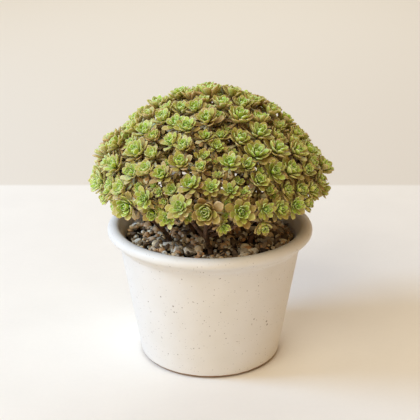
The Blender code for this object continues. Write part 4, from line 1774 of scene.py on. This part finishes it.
@dataclass
class LeafyStem:
    """One stem of the plant with its branches and the rosettes that they carry."""

    number: int
    foot: Vector
    plan: CanopyPlan
    rosettes: list[Rosette]
    fillers: list[Rosette]
    shaded: list[Rosette]
    head: RosetteHead
    stem_foot: float = 60.3
    bend_height: float = 76.0
    stem_radius: float = 1.5
    limb_radius: float = 1.1
    twig_radius: float = 0.7
    first_fork: float = 0.50
    fork_step: float = 0.055
    rosettes_a_limb: float = 4.2
    leaf_reach: float = 1.28
    stalk_depth: float = 0.40

    def own(self) -> list[Rosette]:
        """The rosettes that this stem carries."""
        return [rosette for rosette in self.rosettes if rosette.stem == self.number]

    def own_fillers(self) -> list[Rosette]:
        """The gap-filling rosettes in this stem's share of the canopy."""
        return [rosette for rosette in self.fillers if rosette.stem == self.number]

    def under_leaves(self, rosette: Rosette) -> Vector:
        """The point under a rosette where its twig meets the leaves."""
        return rosette.place - rosette.facing * self.stalk_depth * rosette.radius * self.leaf_reach

    def grouped(self, own: list[Rosette]) -> list[tuple[Vector, list[Rosette]]]:
        """Splits the rosettes into groups of neighbours, one for each limb.

        Args:
            own: The stem's rosettes.

        Returns:
            The centre and the rosettes of each group.
        """
        groups = max(2, round(len(own) / self.rosettes_a_limb))
        centres = [own[i * len(own) // groups].place.copy() for i in range(groups)]
        members: list[list[Rosette]] = []
        for _ in range(12):
            members = [[] for _ in centres]
            for rosette in own:
                nearest = min(range(groups), key=lambda i: (rosette.place - centres[i]).length)
                members[nearest].append(rosette)
            for i, group in enumerate(members):
                if group:
                    centres[i] = sum((rosette.place for rosette in group), Vector()) / len(group)
        return [(centre, group) for centre, group in zip(centres, members) if group]

    def twig(self, root: Vector, rosette: Rosette, radii: tuple[float, float], rng: random.Random) -> Branch:
        """A curved twig from its root up into a rosette.

        Args:
            root: Where it leaves the wood that carries it.
            rosette: The rosette at its end.
            radii: Its radius at the root and under the leaves.
            rng: The seeded source of chance.

        Returns:
            The twig.
        """
        end = self.under_leaves(rosette)
        run = end - root
        sway = Vector((rng.uniform(-1, 1), rng.uniform(-1, 1), rng.uniform(-1.2, 0.2)))
        middle = root.lerp(end, 0.5) + sway * run.length * 0.07
        neck = end - rosette.facing * min(rosette.radius * 0.6, run.length * 0.3)
        neck = neck.lerp(root.lerp(end, 0.8), 0.35)
        heart = rosette.place - rosette.facing * rosette.radius * 0.06
        thick, thin = radii
        return Branch(
            [root, middle, neck, end, heart],
            [thick, (thick + thin) / 2, thin, thin, thin * 0.7],
        )

    def branches(self, rng: random.Random) -> list[Branch]:
        """The trunk, the limbs and the twigs of the stem.

        Args:
            rng: The seeded source of chance.

        Returns:
            The branches, trunk first.
        """
        own = self.own()
        middle = sum((rosette.place for rosette in own), Vector()) / len(own)
        apex = Vector((0, 0, self.plan.cone_apex))
        base = self.foot + Vector((0, 0, self.stem_foot))
        bend = self.foot + Vector((0, 0, self.bend_height))
        groups = self.grouped(own)
        forks = [
            apex.lerp(middle, self.first_fork + self.fork_step * k) for k in range(len(groups) + 1)
        ]
        thick = self.stem_radius
        result = [Branch([base, bend, forks[0], forks[-1]], [thick * 1.1, thick, thick * 0.85, thick * 0.6])]
        for fork, (centre, group) in zip(forks, groups):
            group.sort(key=lambda rosette: (rosette.place - centre).length)
            for k, rosette in enumerate(group):
                if k == 0:
                    root = fork
                    radii = (self.limb_radius, self.twig_radius * 1.2)
                else:
                    root = fork.lerp(self.under_leaves(group[0]), 0.70 - 0.36 * k / len(group))
                    radii = (self.twig_radius, self.twig_radius)
                result.append(self.twig(root, rosette, radii, rng))
        carriers = result[1:]
        for rosette in self.own_fillers():
            end = self.under_leaves(rosette)
            roots = [branch.path[1].lerp(branch.path[2], 0.3) for branch in carriers]
            root = min(roots, key=lambda spot: (spot - end).length)
            result.append(self.twig(root, rosette, (self.twig_radius * 0.9, self.twig_radius * 0.8), rng))
        return result

    def wood(self, branches: Iterable[Branch]) -> bpy.types.Object:
        """Sweeps a round section along every branch.

        Args:
            branches: The branches of the stem.

        Returns:
            The wood as one piece of closed tubes.
        """
        deselect_everything()
        bpy.ops.curve.primitive_bezier_curve_add()
        item = bpy.context.active_object
        curve = item.data
        curve.splines.clear()
        curve.dimensions = "3D"
        curve.bevel_depth = MM
        curve.bevel_resolution = 1
        curve.resolution_u = 3
        curve.use_fill_caps = True
        for branch in branches:
            spline = curve.splines.new("BEZIER")
            spline.bezier_points.add(len(branch.path) - 1)
            for knot, place, radius in zip(spline.bezier_points, branch.path, branch.radii):
                knot.co = place * MM
                knot.handle_left_type = knot.handle_right_type = "AUTO"
                knot.radius = radius
        item.select_set(True)
        bpy.ops.object.convert(target="MESH")
        wood = settled(bpy.context.active_object, f"branches_{self.number + 1:02d}")
        close_up(wood, 0.01 * MM)
        smooth_by_angle(wood, 60)
        return wood

    def withered(self, copies: Copies, branches: list[Branch], rng: random.Random) -> None:
        """Adds the dry leaves that cling to the twigs below the rosettes.

        Args:
            copies: Where the leaves are gathered.
            branches: The branches of the stem.
            rng: The seeded source of chance.
        """
        for branch in branches[1:]:
            root, end = branch.path[1], branch.path[3]
            for _ in range(rng.randint(3, 5)):
                length = rng.uniform(3.6, 5.6)
                spot = Rosette(
                    root.lerp(end, rng.uniform(0.1, 1.0)),
                    length,
                    facing=(end - root).normalized(),
                    spin=rng.uniform(0, math.tau),
                )
                pose = LeafPose(
                    turn=0.0,
                    pitch=math.radians(rng.uniform(-60, 40)),
                    curl=math.radians(rng.uniform(-70, 20)),
                    length=length,
                    width=length * rng.uniform(0.35, 0.8),
                    base_radius=0.3,
                    base_height=0.0,
                    age=rng.uniform(0.88, 1.0),
                    tone=rng.random() * 0.5,
                    twist=rng.gauss(0, 0.4),
                    plain=True,
                )
                self.head.add_to(copies, spot, [pose])

    def make(self, leaf_finish: bpy.types.Material, bark_finish: bpy.types.Material) -> None:
        """Builds and dresses the stem's wood and leaves.

        Args:
            leaf_finish: The material of the leaves.
            bark_finish: The material of the wood.
        """
        rng = random.Random(self.plan.seed * 1000 + self.number)
        branches = self.branches(rng)
        wood = self.wood(branches)
        dressed(wood, bark_finish)
        copies = Copies()
        for rosette in self.own() + self.own_fillers():
            self.head.add_to(copies, rosette, self.head.poses(rosette, rng))
        for rosette in self.shaded:
            if rosette.stem == self.number:
                self.head.add_to(copies, rosette, self.head.shaded_poses(rosette, rng))
        self.withered(copies, branches, rng)
        leaves = copies.piece(f"rosettes_{self.number + 1:02d}")
        dressed(leaves, leaf_finish)
        for piece in (wood, leaves):
            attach(piece, BODY)
            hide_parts(f"leafy_stem_{self.number + 1:02d}")
            LOG.info("%s: %d faces", piece.name, len(piece.data.polygons))


@dataclass
class Plant:
    """The whole plant: every stem of the canopy plan."""

    plan: CanopyPlan = field(default_factory=CanopyPlan)

    def make(self) -> None:
        """Models the two leaves once, then builds and dresses every stem with them."""
        head = RosetteHead(Leaf().build(), Leaf(PLAIN_STATIONS, cup=0.05).build())
        leaf_finish = SucculentLeaf().material()
        bark_finish = WoodyStem().material()
        rosettes = self.plan.rosettes()
        fillers = self.plan.fillers(rosettes)
        shaded = self.plan.shaded()
        for number, foot in enumerate(self.plan.feet()):
            stem = LeafyStem(number, foot, self.plan, rosettes, fillers, shaded, head)
            stem.make(leaf_finish, bark_finish)
        LOG.info("plant: %d rosettes and %d in the gaps", len(rosettes), len(fillers))


# The studio.


@dataclass
class Studio:
    """Plain pale floor, soft light from the left, and the camera at the photograph's angle."""

    distance: float = 0.600
    elevation: float = 20.79
    aim_height: float = 0.0879
    focal_pixels: float = 1032.0
    frame_pixels: float = 420.0
    sensor: float = 36.0

    def camera(self) -> None:
        """Adds the camera."""
        data = bpy.data.cameras.new("camera")
        item = bpy.data.objects.new("camera", data)
        bpy.context.scene.collection.objects.link(item)
        tilt = math.radians(self.elevation)
        item.location = (
            0.0,
            -self.distance * math.cos(tilt),
            self.aim_height + self.distance * math.sin(tilt),
        )
        item.rotation_euler = (math.pi / 2 - tilt, 0.0, 0.0)
        data.sensor_width = self.sensor
        data.lens = self.sensor * self.focal_pixels / self.frame_pixels
        data.clip_start = 0.01
        data.clip_end = 20.0
        bpy.context.scene.camera = item

    def lamp(
        self,
        name: str,
        place: tuple[float, float, float],
        size: float,
        power: float,
        colour: str,
        target: Vector | None = None,
    ) -> None:
        """Adds a square soft box.

        Args:
            name: The lamp's name.
            place: Where it hangs, in metres.
            size: Its width, in metres.
            power: Its power, in watts.
            colour: The sRGB hex code of its light.
            target: What it points at, or the plant where none is given.
        """
        data = bpy.data.lights.new(name, "AREA")
        data.energy = power
        data.size = size
        data.color = linear(colour)[:3]
        item = bpy.data.objects.new(name, data)
        item.location = place
        towards = (target or Vector((0, 0, self.aim_height))) - Vector(place)
        item.rotation_euler = towards.to_track_quat("-Z", "Y").to_euler()
        bpy.context.scene.collection.objects.link(item)

    def floor(self) -> None:
        """Adds the floor."""
        deselect_everything()
        bpy.ops.mesh.primitive_plane_add(size=8.0)
        floor = settled(bpy.context.active_object, "floor")
        dressed(floor, PaleSurface().material())

    def make(self) -> None:
        """Sets up the camera, the light and the floor."""
        self.camera()
        self.floor()
        self.lamp("key", (-1.22, -0.10, 0.92), 0.5, 17.5, "A3CFFF")
        self.lamp("fill", (-0.62, -0.98, 1.15), 1.1, 12.9, "FFFFF2")
        self.lamp("wash", (0.0, 1.35, 1.1), 1.6, 14.2, "E5F6FF", Vector((0, 1.35, 0)))
        world = bpy.data.worlds.new("studio")
        world.use_nodes = True
        background = world.node_tree.nodes["Background"]
        background.inputs["Color"].default_value = linear("FFD192")
        background.inputs["Strength"].default_value = 0.40
        bpy.context.scene.world = world
        bpy.context.scene.view_settings.view_transform = "Standard"


def main() -> None:
    """Builds and dresses every piece."""
    logging.basicConfig(level=logging.INFO, format="%(name)s: %(message)s")
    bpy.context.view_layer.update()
    Studio().make()
    pot = Pot()
    pot.make()
    dressed(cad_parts["potting_soil"], PottingSoil().material())
    TopDressing(pot, CanopyPlan().feet()).make()
    Plant().make()


if __name__ == "__main__":
    main()
